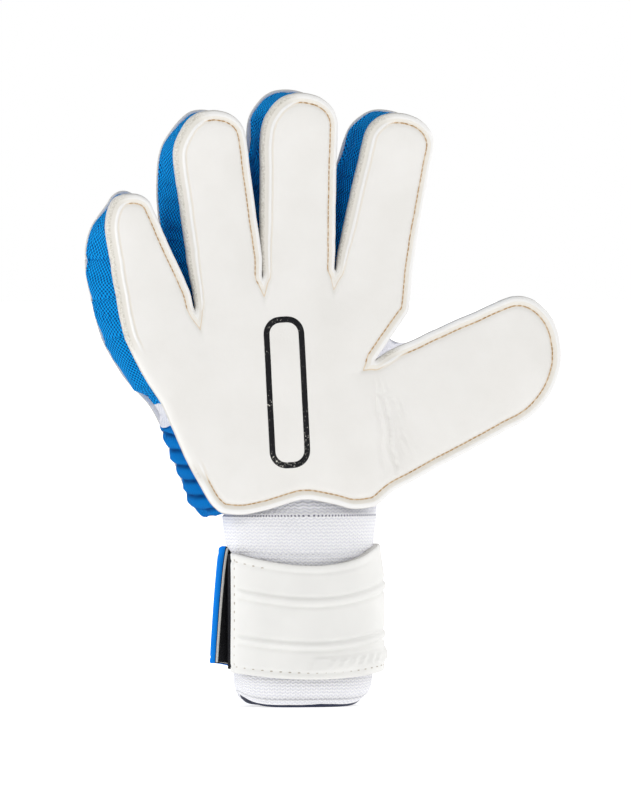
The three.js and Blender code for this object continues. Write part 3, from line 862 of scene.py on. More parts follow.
def settle(grid):
    """Cloth simulation of the walls: fabric cut slightly large, sewn along both edges, left to settle."""
    columns, rows, _ = grid.shape
    cloth = mesh_object("settling", grid.reshape(-1, 3), strip_faces(columns, rows), [])
    index = np.arange(columns * rows).reshape(columns, rows)
    pins = cloth.vertex_groups.new(name="pins")
    pins.add(np.concatenate([index[:, 0], index[:, -1], index[0], index[-1]]).tolist(), 1.0, "ADD")
    modifier = cloth.modifiers.new("Cloth", "CLOTH")
    for key, value in CLOTH.items():
        setattr(modifier.settings, key, value)
    modifier.settings.effector_weights.gravity = 0
    modifier.collision_settings.use_collision = False
    modifier.collision_settings.use_self_collision = False
    modifier.point_cache.frame_start = 1
    modifier.point_cache.frame_end = CLOTH_FRAMES
    for step in range(1, CLOTH_FRAMES + 1):
        bpy.context.scene.frame_set(step)
    evaluated = cloth.evaluated_get(bpy.context.evaluated_depsgraph_get())
    settled = np.array([v.co for v in evaluated.data.vertices]) * 1000
    bpy.context.scene.frame_set(1)
    mesh = cloth.data
    bpy.data.objects.remove(cloth)
    bpy.data.meshes.remove(mesh)
    moved = settled.reshape(grid.shape) - grid
    size = np.linalg.norm(moved, axis=2, keepdims=True)
    return grid + moved * np.minimum(1, CLOTH_LIMIT / np.maximum(size, 1e-6))


def gather(grid, normals):
    """The elastic panel drawn into gathers, and how high each of its points stands in them."""
    along = np.arange(grid.shape[0])[:, None] * EDGE_STEP
    over = np.linspace(0, 1, WALL_ROWS)[None, :]
    slanted = along + over * GATHER["slant"] + GATHER["bow"] * over * (1 - over)
    wave = np.abs(np.sin(slanted * math.pi / GATHER["pitch"])) ** 0.7
    ends = smoothstep(np.minimum(along, along[-1] - along), 0, 4)
    swell = np.sin(over * math.pi) ** 0.5
    return grid + normals * (GATHER["height"] * (wave - 0.45) * ends * swell)[:, :, None], wave


def wall_fabric(owner, kind):
    """The material slot of a stretch of wall, and the material itself."""
    thumb = owner != HAND and owner[0] == "thumb"
    # The web and the thumb's upper gusset get the glowing web mesh: painted light in their shade.
    if kind == "thumb_web" or thumb and kind == "gusset_left":
        return "white_mesh", "web_mesh"
    if thumb or kind == "side_tuck":
        return "white_mesh", "white_mesh"
    slot = "blue_elastic" if kind == "stretch_panel" else "blue_mesh"
    return slot, slot


def build_walls(materials):
    ranges = wall_ranges()
    first, last = ranges[0][2], ranges[-1][3]
    flat = wall_grid(first, last)
    grid = flat.copy()
    for owner, _, start, end in ranges:
        if owner != HAND:
            columns = slice(start - first, end - first + 1)
            grid[columns] = DIGITS[owner[0]].curled(flat[columns].reshape(-1, 3)).reshape(-1, WALL_ROWS, 3)
    grid = settle(grid)
    normals = unit(np.cross(np.gradient(grid, axis=1), np.gradient(grid, axis=0)))
    replaced = set()
    for owner, kind, start, end in ranges:
        columns = slice(start - first, end - first + 1)
        block, facing = grid[columns], normals[columns]
        # fold is how high each point stands in the gathers, 1 off the elastic; the fabric's material paints
        # shade into its low places.
        fold = np.ones(block.shape[:2])
        if kind == "stretch_panel":
            block, fold = gather(block, facing)
        points, faces, slots = closed_shell(block, block - facing * WALL_THICKNESS, 1)
        ends = np.zeros(block.shape[:2], int)
        ends[0], ends[-1] = 1, 2
        sharp = np.concatenate([ends.ravel(), np.where(ends > 0, ends + 2, 0).ravel()])
        width = np.linalg.norm(np.diff(block, axis=1), axis=2).sum(1).mean()
        uv = grid_uv(np.arange(start, end + 1) * EDGE_STEP, np.linspace(0, width, WALL_ROWS))
        slot, fabric = wall_fabric(owner, kind)
        name = kind if owner == HAND else piece_name(kind, owner)
        piece = mesh_object(name, points, faces, [materials[fabric], materials["lining"]], slots,
                            np.vstack([uv, uv]), {"fold": np.tile(fold.ravel(), 2)}, sharp)
        if owner == HAND:
            node = kind if kind in frame["nodes"] else "hand_lining"
        else:
            node = piece_name("gusset", owner)
        attach(piece, owner, slot, *([] if node in replaced else [node]))
        replaced.add(node)


# ---- stitches ----

STITCH_LENGTH = 2.1
STITCH_GAP = 0.5
STITCH_RADIUS = 0.38
# Rings of a stitch: the share of its length, of its radius, and how far it stands out of the material.
STITCH_RINGS = ((-0.5, 0.35, -0.45), (-0.4, 0.85, 0), (0, 1, 0.12), (0.4, 0.85, 0), (0.5, 0.35, -0.45))
STITCH_SIDES = 6


def stitches(centres, directions, outwards, length=STITCH_LENGTH, radius=STITCH_RADIUS):
    """Short rounded thread dashes that dip into the material at both ends."""
    turns = np.arange(STITCH_SIDES) * 2 * math.pi / STITCH_SIDES
    sides = np.cross(directions, outwards)
    spokes = np.cos(turns)[:, None] * sides[:, None] + np.sin(turns)[:, None] * outwards[:, None]
    rings = [(centres + directions * at * length + outwards * rise)[:, None] + radius * size * spokes
             for at, size, rise in STITCH_RINGS]
    each = len(rings) * STITCH_SIDES
    index = np.arange(each).reshape(len(rings), STITCH_SIDES)
    turned = np.roll(index, -1, axis=1)
    dash = np.stack([index[:-1], turned[:-1], turned[1:], index[1:]], axis=-1).reshape(-1, 4).tolist()
    dash += [index[0, ::-1].tolist(), index[-1].tolist()]
    faces = [[i + each * n for i in face] for n in range(len(centres)) for face in dash]
    return np.stack(rings, axis=1).reshape(-1, 3), faces


def seam_stitches(material):
    """Tan stitches in the palm foam's groove, on every stretch where the groove faces out."""
    edge = PALM_EDGE
    path = edge.points - edge.normals * (STITCH_INSET * edge.lip)[:, None]
    shown = (edge.nearest(path)[0] > 0.9 * STITCH_INSET) & (ROLLED + TUCKED < 0.35)
    spans = np.roll(path, -1, axis=0) - path
    lengths = size_of(spans)
    broken = ~(shown & np.roll(shown, -1)) | (lengths > 3 * EDGE_STEP)
    picked = []
    travelled = 0.0
    for i, length in enumerate(lengths):
        travelled = 0.0 if broken[i] else travelled + length
        if travelled >= STITCH_LENGTH + STITCH_GAP:
            travelled -= STITCH_LENGTH + STITCH_GAP
            picked.append(i)
    centres, directions = path[picked], spans[picked] / lengths[picked, None]
    distance, _, index = edge.nearest(centres)
    places = stand(centres, palm_front(centres, distance, index) - 0.1)
    headings = stand(directions, np.zeros(len(picked)))
    numbers = edge.owner_numbers(centres)
    for number in np.unique(numbers):
        owner, mine = edge.owners[number], numbers == number
        points, faces = stitches(places[mine], headings[mine], np.tile([0.0, -1.0, 0.0], (mine.sum(), 1)))
        if owner != HAND:
            points = DIGITS[owner[0]].curled(points)
        attach(mesh_object(piece_name("seam_stitches", owner), points, faces, [material]), owner, "thread")


# ---- printed mark ----

MARK = {"centre": (-13.7, 153), "height": 74, "width": 20.8, "line": 3.3, "corner": 7, "lean": 3.0}
# Rows across the printed line, as shares of half its width, and how far each lies below the foam's face.
MARK_ROWS = (-1, -0.85, -0.3, 0.3, 0.85, 1)
MARK_DEPTHS = (0.3, -0.1, -0.14, -0.14, -0.1, 0.3)


def palm_mark(material):
    """A plain tall rounded outline printed on the palm."""
    half_line = MARK["line"] / 2
    corner = MARK["corner"]
    middle = np.array([MARK["width"], MARK["height"]]) / 2 - half_line - corner
    turn = np.linspace(0, math.pi / 2, 9)
    path = []
    for quarter, signs in enumerate(((1, 1), (-1, 1), (-1, -1), (1, -1))):
        angle = turn + quarter * math.pi / 2
        path.append(middle * signs + corner * np.column_stack([np.cos(angle), np.sin(angle)]))
    path = resample(np.vstack(path + [path[0][:1]]), 1.0)[:-1]
    normals = loop_normals(path)
    lean = math.radians(MARK["lean"])
    turned = np.array([[math.cos(lean), math.sin(lean)], [-math.sin(lean), math.cos(lean)]])
    grid = np.stack([path + normals * half_line * row for row in MARK_ROWS], axis=1) @ turned + MARK["centre"]
    flat = grid.reshape(-1, 2)
    distance, _, index = PALM_EDGE.nearest(flat)
    y = palm_front(flat, distance, index) + np.tile(MARK_DEPTHS, len(path))
    piece = mesh_object("palm_mark", stand(flat, y), ring_faces(len(path), len(MARK_ROWS)), [material])
    attach(piece, HAND, "print_ink")


# ---- cuff ----

CUFF_HALF_WIDTH = 34.6
CUFF_HALF_DEPTH = 19.2
CUFF_CENTRE_Y = 18.2
SLEEVE_Z = (0, 1.5, 4, 8, 14, 74, 79, 84, 88, 92.6, 93.4, 96, 100, 108)
SLEEVE_HALF_WIDTH = (30.6, 31.8, 33.2, 34.3, 34.6, 35.0, 36.8, 37.4, 38.0, 38.6, 37.9, 38.6, 39.4, 40)
SLEEVE_FRONT = (1.6, 0.5, -0.4, -0.8, -1.0, -1.0, -1.3, -1.2, -0.4, 1.2, 1.9, 4.2, 5.2, 6.2)
SLEEVE_BACK = (34.8, 35.9, 36.8, 37.2, 37.4, 37.4, 37.0, 35.6, 34.2, 33.0, 32.4, 31.8, 31.4, 31)
SLEEVE_SHIFT = (-1.6, -0.9, -0.3, 0, 0, -0.3, -1.8, -2.0, -2.0, -1.9, -1.8, -2.0, -2.6, -3.2)
SLEEVE_WALL = 1.7
SLEEVE_BOTTOM = 1.2
SLEEVE_ROW = 1.4
SLEEVE_SOFTNESS = 0.55
HEM_Z = 93
RIM_RISE = 5.6
RIM_BLEND_Z = 14
CUFF_CUTS = (76, 85.5)
# The sleeve's lengths from the rim up: name, what it bends with or rides on, and the CAD node it stands for.
SLEEVE_PARTS = (
    ("cuff", "cuff", "wrist_sleeve"),
    ("lower", "wrist_lower", "wrist_band"),
    ("upper", "wrist_upper"),
)
CUFF_TURNS = np.linspace(0, 2 * math.pi, 145)[:-1]
# The folded tape's cross section: how far out, and how high.
BINDING = (
    (0.1, 1.9), (0.35, 1.3), (0.3, 0.5), (-0.1, 0.05), (-0.8, 0.0),
    (-1.9, 0.3), (-2.5, 1.2), (-2.4, 2.7), (-1.0, 2.3),
)


def rim_rise(turn):
    """The rim touches the floor at the front and back, and rises at both sides."""
    return RIM_RISE * np.abs(np.cos(turn)) ** 7


def from_cuff_axis(points):
    return unit((points - [0, CUFF_CENTRE_Y, 0]) * [1, 1, 0])


def sleeve_point(turn, z):
    """The knitted sleeve's outer face. turn is 0 on the thumb's side and a quarter on the palm's side."""
    profiles = (SLEEVE_HALF_WIDTH, SLEEVE_FRONT, SLEEVE_BACK, SLEEVE_SHIFT)
    half_width, front, back, shift = (np.interp(z, SLEEVE_Z, profile) for profile in profiles)
    square = np.interp(z, [84, 96], [1.0, 0.72])
    cosine, sine = (np.sign(share) * np.abs(share) ** square for share in (np.cos(turn), np.sin(turn)))
    height = z + rim_rise(turn) * np.clip(1 - z / RIM_BLEND_Z, 0, 1)
    y = (front + back) / 2 - (back - front) / 2 * sine
    return np.stack([shift + half_width * cosine, y, height], axis=-1)


def sleeve_grid(low, high):
    """The outer face between two heights, its directions outward and its heights."""
    knots = [z for z in SLEEVE_Z if low < z < high]
    heights = np.unique(np.concatenate([np.arange(low, high, SLEEVE_ROW), knots, [high]]))
    turn, z = np.meshgrid(CUFF_TURNS, heights, indexing="ij")
    flat = np.column_stack([np.cos(turn).ravel() * 34, z.ravel()])
    soft = noise_at(flat, 13, 12.0) + noise_at(flat + 50 * np.sin(turn).ravel()[:, None], 17, 14.0)
    loose = smoothstep(z, 72, 80) * smoothstep(z, 99, 92) + 0.5 * smoothstep(z, 14, 8)
    grid = sleeve_point(turn, z)
    outward = from_cuff_axis(grid)
    return grid + outward * (soft.reshape(turn.shape) * loose * SLEEVE_SOFTNESS)[:, :, None], outward, heights


def build_sleeve(materials):
    """The knitted sleeve in three lengths, divided at the wrist's two joints."""
    ends = (SLEEVE_BOTTOM, *CUFF_CUTS, SLEEVE_Z[-1])
    for low, high, (part, owner, *nodes) in zip(ends, ends[1:], SLEEVE_PARTS):
        outer, outward, heights = sleeve_grid(low, high)
        inner = (outer - outward * SLEEVE_WALL)[:, ::-1]
        grid = np.concatenate([outer, inner], axis=1)
        rows = len(heights)
        uv = grid_uv(travel(outer[:, 0]), [*heights, *heights[::-1]])
        slots = np.repeat([0, 1, 0], [rows, rows - 1, 1])
        sharp = np.zeros(2 * rows)
        sharp[[0, rows - 1, rows, -1]] = 1, 2, 4, 3
        faces = ring_faces(len(grid), 2 * rows)
        slots, sharp = np.tile(slots, len(grid)), np.tile(sharp, len(grid))
        piece = mesh_object(f"knit_sleeve_{part}", grid.reshape(-1, 3), faces,
                            [materials["knit"], materials["lining"]], slots, uv, None, sharp)
        attach(piece, owner, "white_mesh", *nodes)


def build_binding(material):
    """Folded navy tape round the cuff's rim."""
    ring = sleeve_point(CUFF_TURNS, np.full(len(CUFF_TURNS), 1.5))
    outward = from_cuff_axis(ring)
    tucked = 0.4 + 1.3 * np.abs(np.cos(CUFF_TURNS)) ** 3
    wave = 0.12 * np.sin(CUFF_TURNS * 23)
    rows = []
    for out, z in BINDING:
        row = ring + outward * (out - tucked)[:, None]
        row[:, 2] = z + wave * (z > 0.2) + rim_rise(CUFF_TURNS)
        rows.append(row)
    grid = np.stack(rows, axis=1)
    uv = grid_uv(travel(grid[:, 0]), np.arange(len(BINDING)) * 1.0)
    faces = ring_faces(len(CUFF_TURNS), len(BINDING))
    piece = mesh_object("rim_binding", grid.reshape(-1, 3), faces, [material], None, uv)
    attach(piece, "cuff", "binding", "cuff_binding")


# ---- strap ----

# Rows near a panel's edges, where it is rounded over this distance.
PANEL_BORDER = np.array([0, 0.35, 0.9, 1.6, 2.3])
PANEL_START = 3
PANEL_ROUNDING = 1.6
STRAP_TURNS = (-40, 163)
STRAP_OFFSETS = (2.2, 6.0)
STRAP_LOW = (13.7, 3.5)
STRAP_HIGH = (68.9, 6.6, 10.0)
# Pairs of grooves with a soft rib between them, as shares of the strap's height.
RIB_PAIRS = ((0.72, 0.635), (0.33, 0.252))
GROOVE_DEPTH = 0.75
# The raised plate low on the thumb's half: where it ends along the strap, its slant and its bars.
PLATE_END = 0.66
PLATE_SLANT = 0.55
BAR_PITCH = 5.4
# The stitches: how far out they lie, their spacing upright and along, and their size.
STRAP_STITCH_OFFSET = 5.55
UPRIGHT_PITCH = 4.2
ALONG_PITCH = 4.3
STRAP_STITCH = (1.5, 0.27)
BASE_TURNS = (-37, 181)
PATCH_TURNS = (192, 306)
PATCH_HEIGHTS = (19.0, 71.0)
TAB_PARTS = {"strap_tab": (184, 226), "strap_tip": (227.5, 292)}
TAB_HEIGHTS = (16.5, 73.5)
HOOK_OFFSETS = (2.2, 3.7)
COVER_OFFSETS = (3.7, 6.9)
TAB_TAPER = 9
TAB_FLARE = 5.6
TAB_RAISED = 4.6


def shell_point(turn, offset, z):
    """A point at this offset outside the cuff. turn is in radians, as for the sleeve."""
    x = (CUFF_HALF_WIDTH + offset) * np.cos(turn)
    y = CUFF_CENTRE_Y - (CUFF_HALF_DEPTH + offset) * np.sin(turn)
    return np.stack([x, y, z + 0 * x], axis=-1)


def even_turns(start, end, step):
    """Angles from start to end degrees at even steps along the cuff's face, and how far along they are."""
    table = np.radians(np.linspace(start, end, 400))
    travelled = travel(shell_point(table, 4.0, 0.0))
    total = travelled[-1]
    inner_length = total - 2 * PANEL_START
    even_step = inner_length / max(1, round(inner_length / step))
    inner = np.arange(PANEL_START, total - PANEL_START + 1e-6, even_step)
    at = np.concatenate([PANEL_BORDER, inner, total - PANEL_BORDER[::-1]])
    return np.interp(at, travelled, table), at


def no_lift(at, height, share):
    return 0 * at * height


def wrap_panel(name, turned, low, high, offsets, materials, step, round_edge, relief=no_lift, lift=no_lift):
    """A closed padded panel wrapped round the cuff. turned comes from even_turns(). low, high and the inner
    and outer offsets are given per angle. relief(along, height, share) raises its outer face, and lift(the
    same) both faces."""
    turns, at = turned
    edges = (low, high, *offsets)
    low, high, inner, outer = (np.broadcast_to(value, turns.shape)[:, None] for value in edges)
    tall = float(np.mean(high - low))
    upward = np.arange(PANEL_START, tall - PANEL_START, step)
    share = np.concatenate([PANEL_BORDER, upward, tall - PANEL_BORDER[::-1]])[None, :] / tall
    z = low + (high - low) * share
    along, height = at[:, None], tall * share
    to_edge = np.minimum(np.minimum(along, at[-1] - along), tall * np.minimum(share, 1 - share))
    drop = round_edge * (1 - np.sqrt(1 - (1 - np.clip(to_edge / PANEL_ROUNDING, 0, 1)) ** 2))
    lifted = lift(along, height, share)
    turn = np.broadcast_to(turns[:, None], z.shape)
    front = shell_point(turn, outer - drop + relief(along, height, share) + lifted, z)
    back = shell_point(turn, inner + lifted, z)
    points, faces, slots = closed_shell(front, back, 2 if len(materials) > 2 else 0)
    uv = np.dstack([np.broadcast_to(along, z.shape), z]).reshape(-1, 2)
    return mesh_object(name, points, faces, materials, slots, np.vstack([uv, uv]))


def strap_edges(turns):
    side = np.cos(turns) ** 2
    top, far_rise, near_rise = STRAP_HIGH
    return STRAP_LOW[0] + STRAP_LOW[1] * side, top + np.where(np.cos(turns) < 0, far_rise, near_rise) * side


def strap_relief(at, height, share):
    total, length = np.max(height), np.max(at)
    inner = smoothstep(length - at, 4.5, 7) * smoothstep(at, 5, 8)
    rise = 0
    for upper, lower in RIB_PAIRS:
        top, bottom = upper * total, lower * total
        grooves = hump(height, top, GROOVE_DEPTH) + hump(height, bottom, GROOVE_DEPTH)
        rib = smoothstep(height, bottom + 0.3, bottom + 1.6) * smoothstep(height, top - 0.3, top - 1.6)
        rise = rise + inner * (0.55 * rib - GROOVE_DEPTH * grooves)
    fold = 0.5 * hump(height, total - 3.8, 0.7) * smoothstep(at, 20, 50) + 0.45 * hump(height, 3.2, 0.7)
    fold = fold + 0.4 * (hump(length - at, 2.6, 0.7) + hump(at, 3.2, 0.7))
    # A plain raised plate with a slanting end, low on the thumb's half, with slanting bars on it.
    leaning = at + (height - 3) * PLATE_SLANT
    plate = smoothstep(PLATE_END * length - leaning, -0.4, 0.5) * smoothstep(at, 1.5, 2.5)
    plate = plate * smoothstep(height, 3.4, 4.2) * smoothstep(height, 11.6, 10.8)
    from_gap = np.abs((leaning / BAR_PITCH) % 1 - 0.5) * BAR_PITCH
    bars = smoothstep(from_gap, 1.6, 1.1) * smoothstep(height, 5.0, 5.6) * smoothstep(height, 10.2, 9.6)
    bars = bars * smoothstep((PLATE_END - 0.07) * length - leaning, 0, 0.5) * smoothstep(at, 6, 7)
    soft = 0.14 * np.sin(at / 7.3) * np.sin(height / 9.1 + 1)
    return rise - fold + 0.6 * plate + 0.8 * bars + soft


def strap_hug(at, height, share):
    """On the thumb's side the strap's upper edge leans in against the sleeve."""
    return -2.0 * smoothstep(share, 0.7, 1) * smoothstep(at, 48, 30)


def strap_stitches(material):
    """A row up the strap's end, a row along its lower edge and four stitches along its upper edge."""
    turns, at = even_turns(*STRAP_TURNS, 0.5)
    low, high = strap_edges(turns)
    length = at[-1]
    along_row = length - 4.0 - ALONG_PITCH * np.arange(int((length - 7) / ALONG_PITCH))
    rows = [(length - 2.6, 4.5 + k * UPRIGHT_PITCH, True) for k in range(13)]
    rows += [(along, 3.2, False) for along in along_row] + [(along, -3.6, False) for along in along_row[:4]]
    centres, directions, outwards = [], [], []
    up = np.array([0, 0, 1.0])
    for along, height, upright in rows:
        turn = np.interp(along, at, turns)
        z = np.interp(along, at, low if height >= 0 else high) + height
        centre = shell_point(turn, STRAP_STITCH_OFFSET, z)
        ahead = unit(shell_point(turn + 0.01, STRAP_STITCH_OFFSET, z) - centre)
        out = np.cross(ahead, up)
        centres.append(centre)
        directions.append(up if upright else ahead)
        outwards.append(out * np.sign(out @ (centre - [0, CUFF_CENTRE_Y, z])))
    points, faces = stitches(np.array(centres), np.array(directions), np.array(outwards), *STRAP_STITCH)
    attach(mesh_object("strap_stitches", points, faces, [material]), "cuff", "thread")


def tab_flare(at, height, share):
    """The tab's front edge stands off the cuff, further towards its lower corner."""
    return TAB_FLARE * np.clip(1 - share, 0, 1) ** 0.65 * np.clip(1 - at / 13, 0, 1) ** 1.4


def cover_relief(at, height, share):
    total = np.max(height)
    groove = 0.4 * hump(np.minimum(height, total - height), 3.2, 0.6)
    ribs = 0.5 * sum(hump(height, total * level, 1.0) for level in (0.3, 0.4, 0.5, 0.6, 0.7))
    return ribs * smoothstep(at, 5, 9) * smoothstep(np.max(at) - at, 5, 9) - groove


def build_strap(materials):
    tape, raw_edge = materials["black_hook_tape"], materials["raw_edge"]
    turned = even_turns(*STRAP_TURNS, 1.2)
    foam = wrap_panel("strap_foam", turned, *strap_edges(turned[0]), STRAP_OFFSETS,
                      [materials["strap_foam"], tape, raw_edge], 0.7, 0.8, strap_relief, strap_hug)
    attach(foam, "cuff", "strap_foam", "strap_foam")
    strap_stitches(materials["pale_thread"])

    turned = even_turns(*BASE_TURNS, 2.0)
    low, high = strap_edges(turned[0])
    offsets = (0.5, 1.8 + 1.6 * smoothstep(np.degrees(turned[0]), 150, 166))
    base = wrap_panel("strap_base", turned, low + 1.2, high - 1.2, offsets, [tape, tape], 2.5, 0.4)
    attach(base, "cuff", "hook_tape", "strap_base")
    patch = wrap_panel("loop_patch", even_turns(*PATCH_TURNS, 2.0), *PATCH_HEIGHTS, (0.4, 1.8),
                       [materials["black_loop_tape"]] * 2, 2.5, 0.4)
    attach(patch, "cuff", "loop_tape", "loop_patch")

    for name, span in TAB_PARTS.items():
        turned = even_turns(*span, 1.5)
        turns, at = turned
        taper = TAB_TAPER * smoothstep(np.degrees(turns), 270, 292)
        is_tab = name == "strap_tab"
        lift = tab_flare if is_tab else no_lift
        raised = TAB_RAISED * smoothstep(at, 30, 0) * is_tab
        low, high = TAB_HEIGHTS[0] + taper + raised, TAB_HEIGHTS[1] - taper + raised
        hook = wrap_panel(f"{name}_hook_tape", turned, low + 0.5, high - 0.8, HOOK_OFFSETS,
                          [tape, tape, raw_edge], 2.0, 0.3, no_lift, lift)
        attach(hook, name, "hook_tape", f"{name}_hook")
        cover = wrap_panel(f"{name}_cover", turned, low, high, COVER_OFFSETS,
                           [materials["blue_cover"], tape], 1.2, 1.2, cover_relief, lift)
        attach(cover, name, "blue_cover", f"{name}_cover")


# ---- knuckle guard ----

GUARD_GRID = (129, 57)
GUARD_HEIGHT = 2.4
DOME_HEIGHT = 1.9
SLOT_PITCH = 6.5
SLOT_SLANT = 0.45


def knuckle_guard(material):
    """A moulded guard over the knuckles: four joined domes with slanting slots and a sewn border."""
    low, high = (np.array(corner) * 1000 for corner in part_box("knuckle_pad"))
    centre, half = (low + high) / 2, (high - low) / 2
    columns, rows = GUARD_GRID
    u, share = np.meshgrid(np.linspace(-1, 1, columns), np.linspace(0, 1, rows), indexing="ij")
    dome = np.abs(np.sin(2 * math.pi * u))
    tall = 0.3 + 0.7 * np.sqrt(1 - ((np.abs(u) - 0.88) / 0.12).clip(0, 1) ** 2)
    top = 0.2 + (0.56 + 0.24 * dome**0.6) * tall
    bottom = -0.1 - (0.62 + 0.28 * np.cos(u * math.pi / 2)) * tall
    x = centre[0] + half[0] * u
    z = centre[2] + half[2] * (bottom + (top - bottom) * share)
    edge = np.minimum((1 - np.abs(u)) * half[0], np.minimum(share, 1 - share) * (top - bottom) * half[2])
    slots = hump(((z + SLOT_SLANT * x) / SLOT_PITCH) % 1 - 0.5, 0, 0.13)
    slots = slots * smoothstep(dome, 0.45, 0.65) * smoothstep(edge, 7.5, 9)
    height = GUARD_HEIGHT * smoothstep(edge, -0.6, 2.0) - 0.9 * hump(edge, 3.6, 0.7) - slots
    height = height + DOME_HEIGHT * smoothstep(edge, 4.6, 7.5) * dome**0.8
    surface = back_inner(np.column_stack([x.ravel(), z.ravel()])).reshape(x.shape) + BACK_FOAM
    points, faces, _ = closed_shell(np.dstack([x, surface + height, z]), np.dstack([x, surface - 1.0, z]))
    # The groove attribute paints shade into the slots.
    groove = np.tile(slots.ravel(), 2)
    piece = mesh_object("knuckle_guard", points, faces, [material], attributes={"groove": groove})
    attach(piece, HAND, "blue_cover", "knuckle_pad")


# ---- materials ----


class Signal:
    """A shader value that adds, subtracts and multiplies like a number."""

    def __init__(self, shader, socket):
        self.shader = shader
        self.socket = socket

    def maths(self, operation, *others):
        return self.shader.node("ShaderNodeMath", dict(enumerate((self, *others))), operation=operation)

    def __add__(self, other):
        return self.maths("ADD", other)

    def __sub__(self, other):
        return self.maths("SUBTRACT", other)

    def __mul__(self, other):
        return self.maths("MULTIPLY", other)

    def ramp(self, low, high, start=0.0, end=1.0):
        """start to end as the value goes from low to high."""
        inputs = {"Value": self, "From Min": low, "From Max": high, "To Min": start, "To Max": end}
        return self.shader.node("ShaderNodeMapRange", inputs)

    def band(self, start, end, soft=0.25):
        """1 between start and end, with soft sides."""
        return self.ramp(start - soft, start + soft) * self.ramp(end + soft, end - soft)

    def wave(self, length):
        return (self * (2 * math.pi / length)).maths("SINE")


class Shader:
    """Nodes of one tree. Their inputs are numbers, colours as (red, green, blue), or signals."""

    def __init__(self, tree):
        self.tree = tree

    def plug(self, target, key, value):
        if isinstance(value, Signal):
            self.tree.links.new(value.socket, target.inputs[key])
        else:
            target.inputs[key].default_value = (*value, 1.0) if isinstance(value, tuple) else value

    def node(self, kind, inputs=None, output=0, **settings):
        made = self.tree.nodes.new(kind)
        for key, value in settings.items():
            setattr(made, key, value)
        for key, value in (inputs or {}).items():
            self.plug(made, key, value)
        return Signal(self, made.outputs[output])

    def mix(self, factor, a, b):
        return self.node("ShaderNodeMix", {0: factor, 6: a, 7: b}, 2, data_type="RGBA")

    def attribute(self, name):
        return self.node("ShaderNodeAttribute", None, "Fac", attribute_name=name)

    def place(self):
        """The place on the piece, in millimetres."""
        metres = self.node("ShaderNodeTexCoord", None, "Object")
        return self.node("ShaderNodeVectorMath", {0: metres, 3: 1000.0}, operation="SCALE")

    def uv(self, axis):
        return self.node("ShaderNodeSeparateXYZ", {0: self.node("ShaderNodeUVMap")}, axis)

    def noise(self, size, detail=2.0, roughness=0.5):
        inputs = {"Vector": self.place(), "Scale": 1 / size, "Detail": detail, "Roughness": roughness}
        return self.node("ShaderNodeTexNoise", inputs, "Fac")

    def cells(self, size):
        return self.node("ShaderNodeTexVoronoi", {"Vector": self.place(), "Scale": 1 / size}, "Distance")

    def camera_ray(self):
        return self.node("ShaderNodeLightPath", None, "Is Camera Ray")


class Finish(Shader):
    """A Principled material whose colour, roughness and height are wired by the caller."""

    def __init__(self, name, rough=0.8, sheen=0.0, specular=0.5):
        self.material = bpy.data.materials.new(name)
        self.material.use_nodes = True
        super().__init__(self.material.node_tree)
        self.set("Roughness", rough)
        self.set("Sheen Weight", sheen)
        self.set("Specular IOR Level", specular)

    def set(self, key, value):
        self.plug(self.tree.nodes["Principled BSDF"], key, value)

    def bump(self, height, depth, strength=1.0):
        inputs = {"Height": height, "Distance": depth / 1000, "Strength": strength}
        self.set("Normal", self.node("ShaderNodeBump", inputs))


def latex_material():
    """White latex foam, with a raw fuzzy edge where it is rolled, and painted light and shade along its edge.
    Where it is rolled: painted shade on the lip that rolls away, a painted highlight on the ridge and painted
    shade in the groove behind it. Where it is plain: a painted highlight on the lip, painted shade down its
    slope and painted shade in the sewn groove."""
    made = Finish("palm_latex")
    far, rolled, plain = (made.attribute(name) for name in ("from_edge", "rolled", "plain"))
    fuzz = made.noise(0.9, 3, 0.7)
    raw = made.mix(fuzz.ramp(0.35, 0.65), (0.56, 0.53, 0.46), (0.86, 0.83, 0.77))
    shade = made.mix(made.noise(26, 3).ramp(0.35, 0.7), (0.862, 0.845, 0.81), (0.90, 0.885, 0.855))
    # Stripes along the edge: where, from and to which distance, how strong, the colour and its softness. All
    # but the raw edge are painted light and shade.
    stripes = (
        # Plain edge: a painted highlight on the lip, painted shade down its slope and painted shade in the
        # sewn groove.
        (plain, -1, 2.1, 0.8, (0.95, 0.945, 0.93), 0.25),
        (plain, 2.3, 3.9, 0.55, (0.84, 0.79, 0.69), 0.25),
        (plain, 4.05, 4.75, 0.8, (0.74, 0.58, 0.38), 0.15),
        # Rolled edge: painted shade on the lip that rolls away, the raw edge, a painted highlight on the
        # ridge and painted shade in the groove behind it.
        (rolled, 0.9, 3.3, 0.75, (0.80, 0.765, 0.69), 0.25),
        (rolled, -1, 1.6, 0.95, raw, 0.25),
        (rolled, 3.5, 4.4, 0.9, (0.96, 0.955, 0.945), 0.15),
        (rolled, 4.8, 5.6, 0.5, (0.80, 0.71, 0.58), 0.3),
    )
    for share, start, end, strength, target, soft in stripes:
        shade = made.mix(far.band(start, end, soft) * (share * strength), shade, target)
    made.set("Base Color", shade)
    grain = made.noise(2.6, 4, 0.6)
    rough_edge = far.band(-1, 1.8) * rolled * 3.0
    made.bump(made.noise(0.55, 3, 0.65) * 0.5 + grain + fuzz * rough_edge, 0.16, 0.55)
    made.set("Roughness", grain.ramp(0.3, 0.7, 0.68, 0.88))
    return made.material


def raw_edge_material():
    made = Finish("raw_foam_edge", 0.95)
    speck = made.noise(0.8, 3, 0.7)
    made.set("Base Color", made.mix(speck, (0.58, 0.56, 0.52), (0.86, 0.85, 0.82)))
    made.bump(made.cells(1 / 1.9) + speck, 0.4, 0.9)
    return made.material


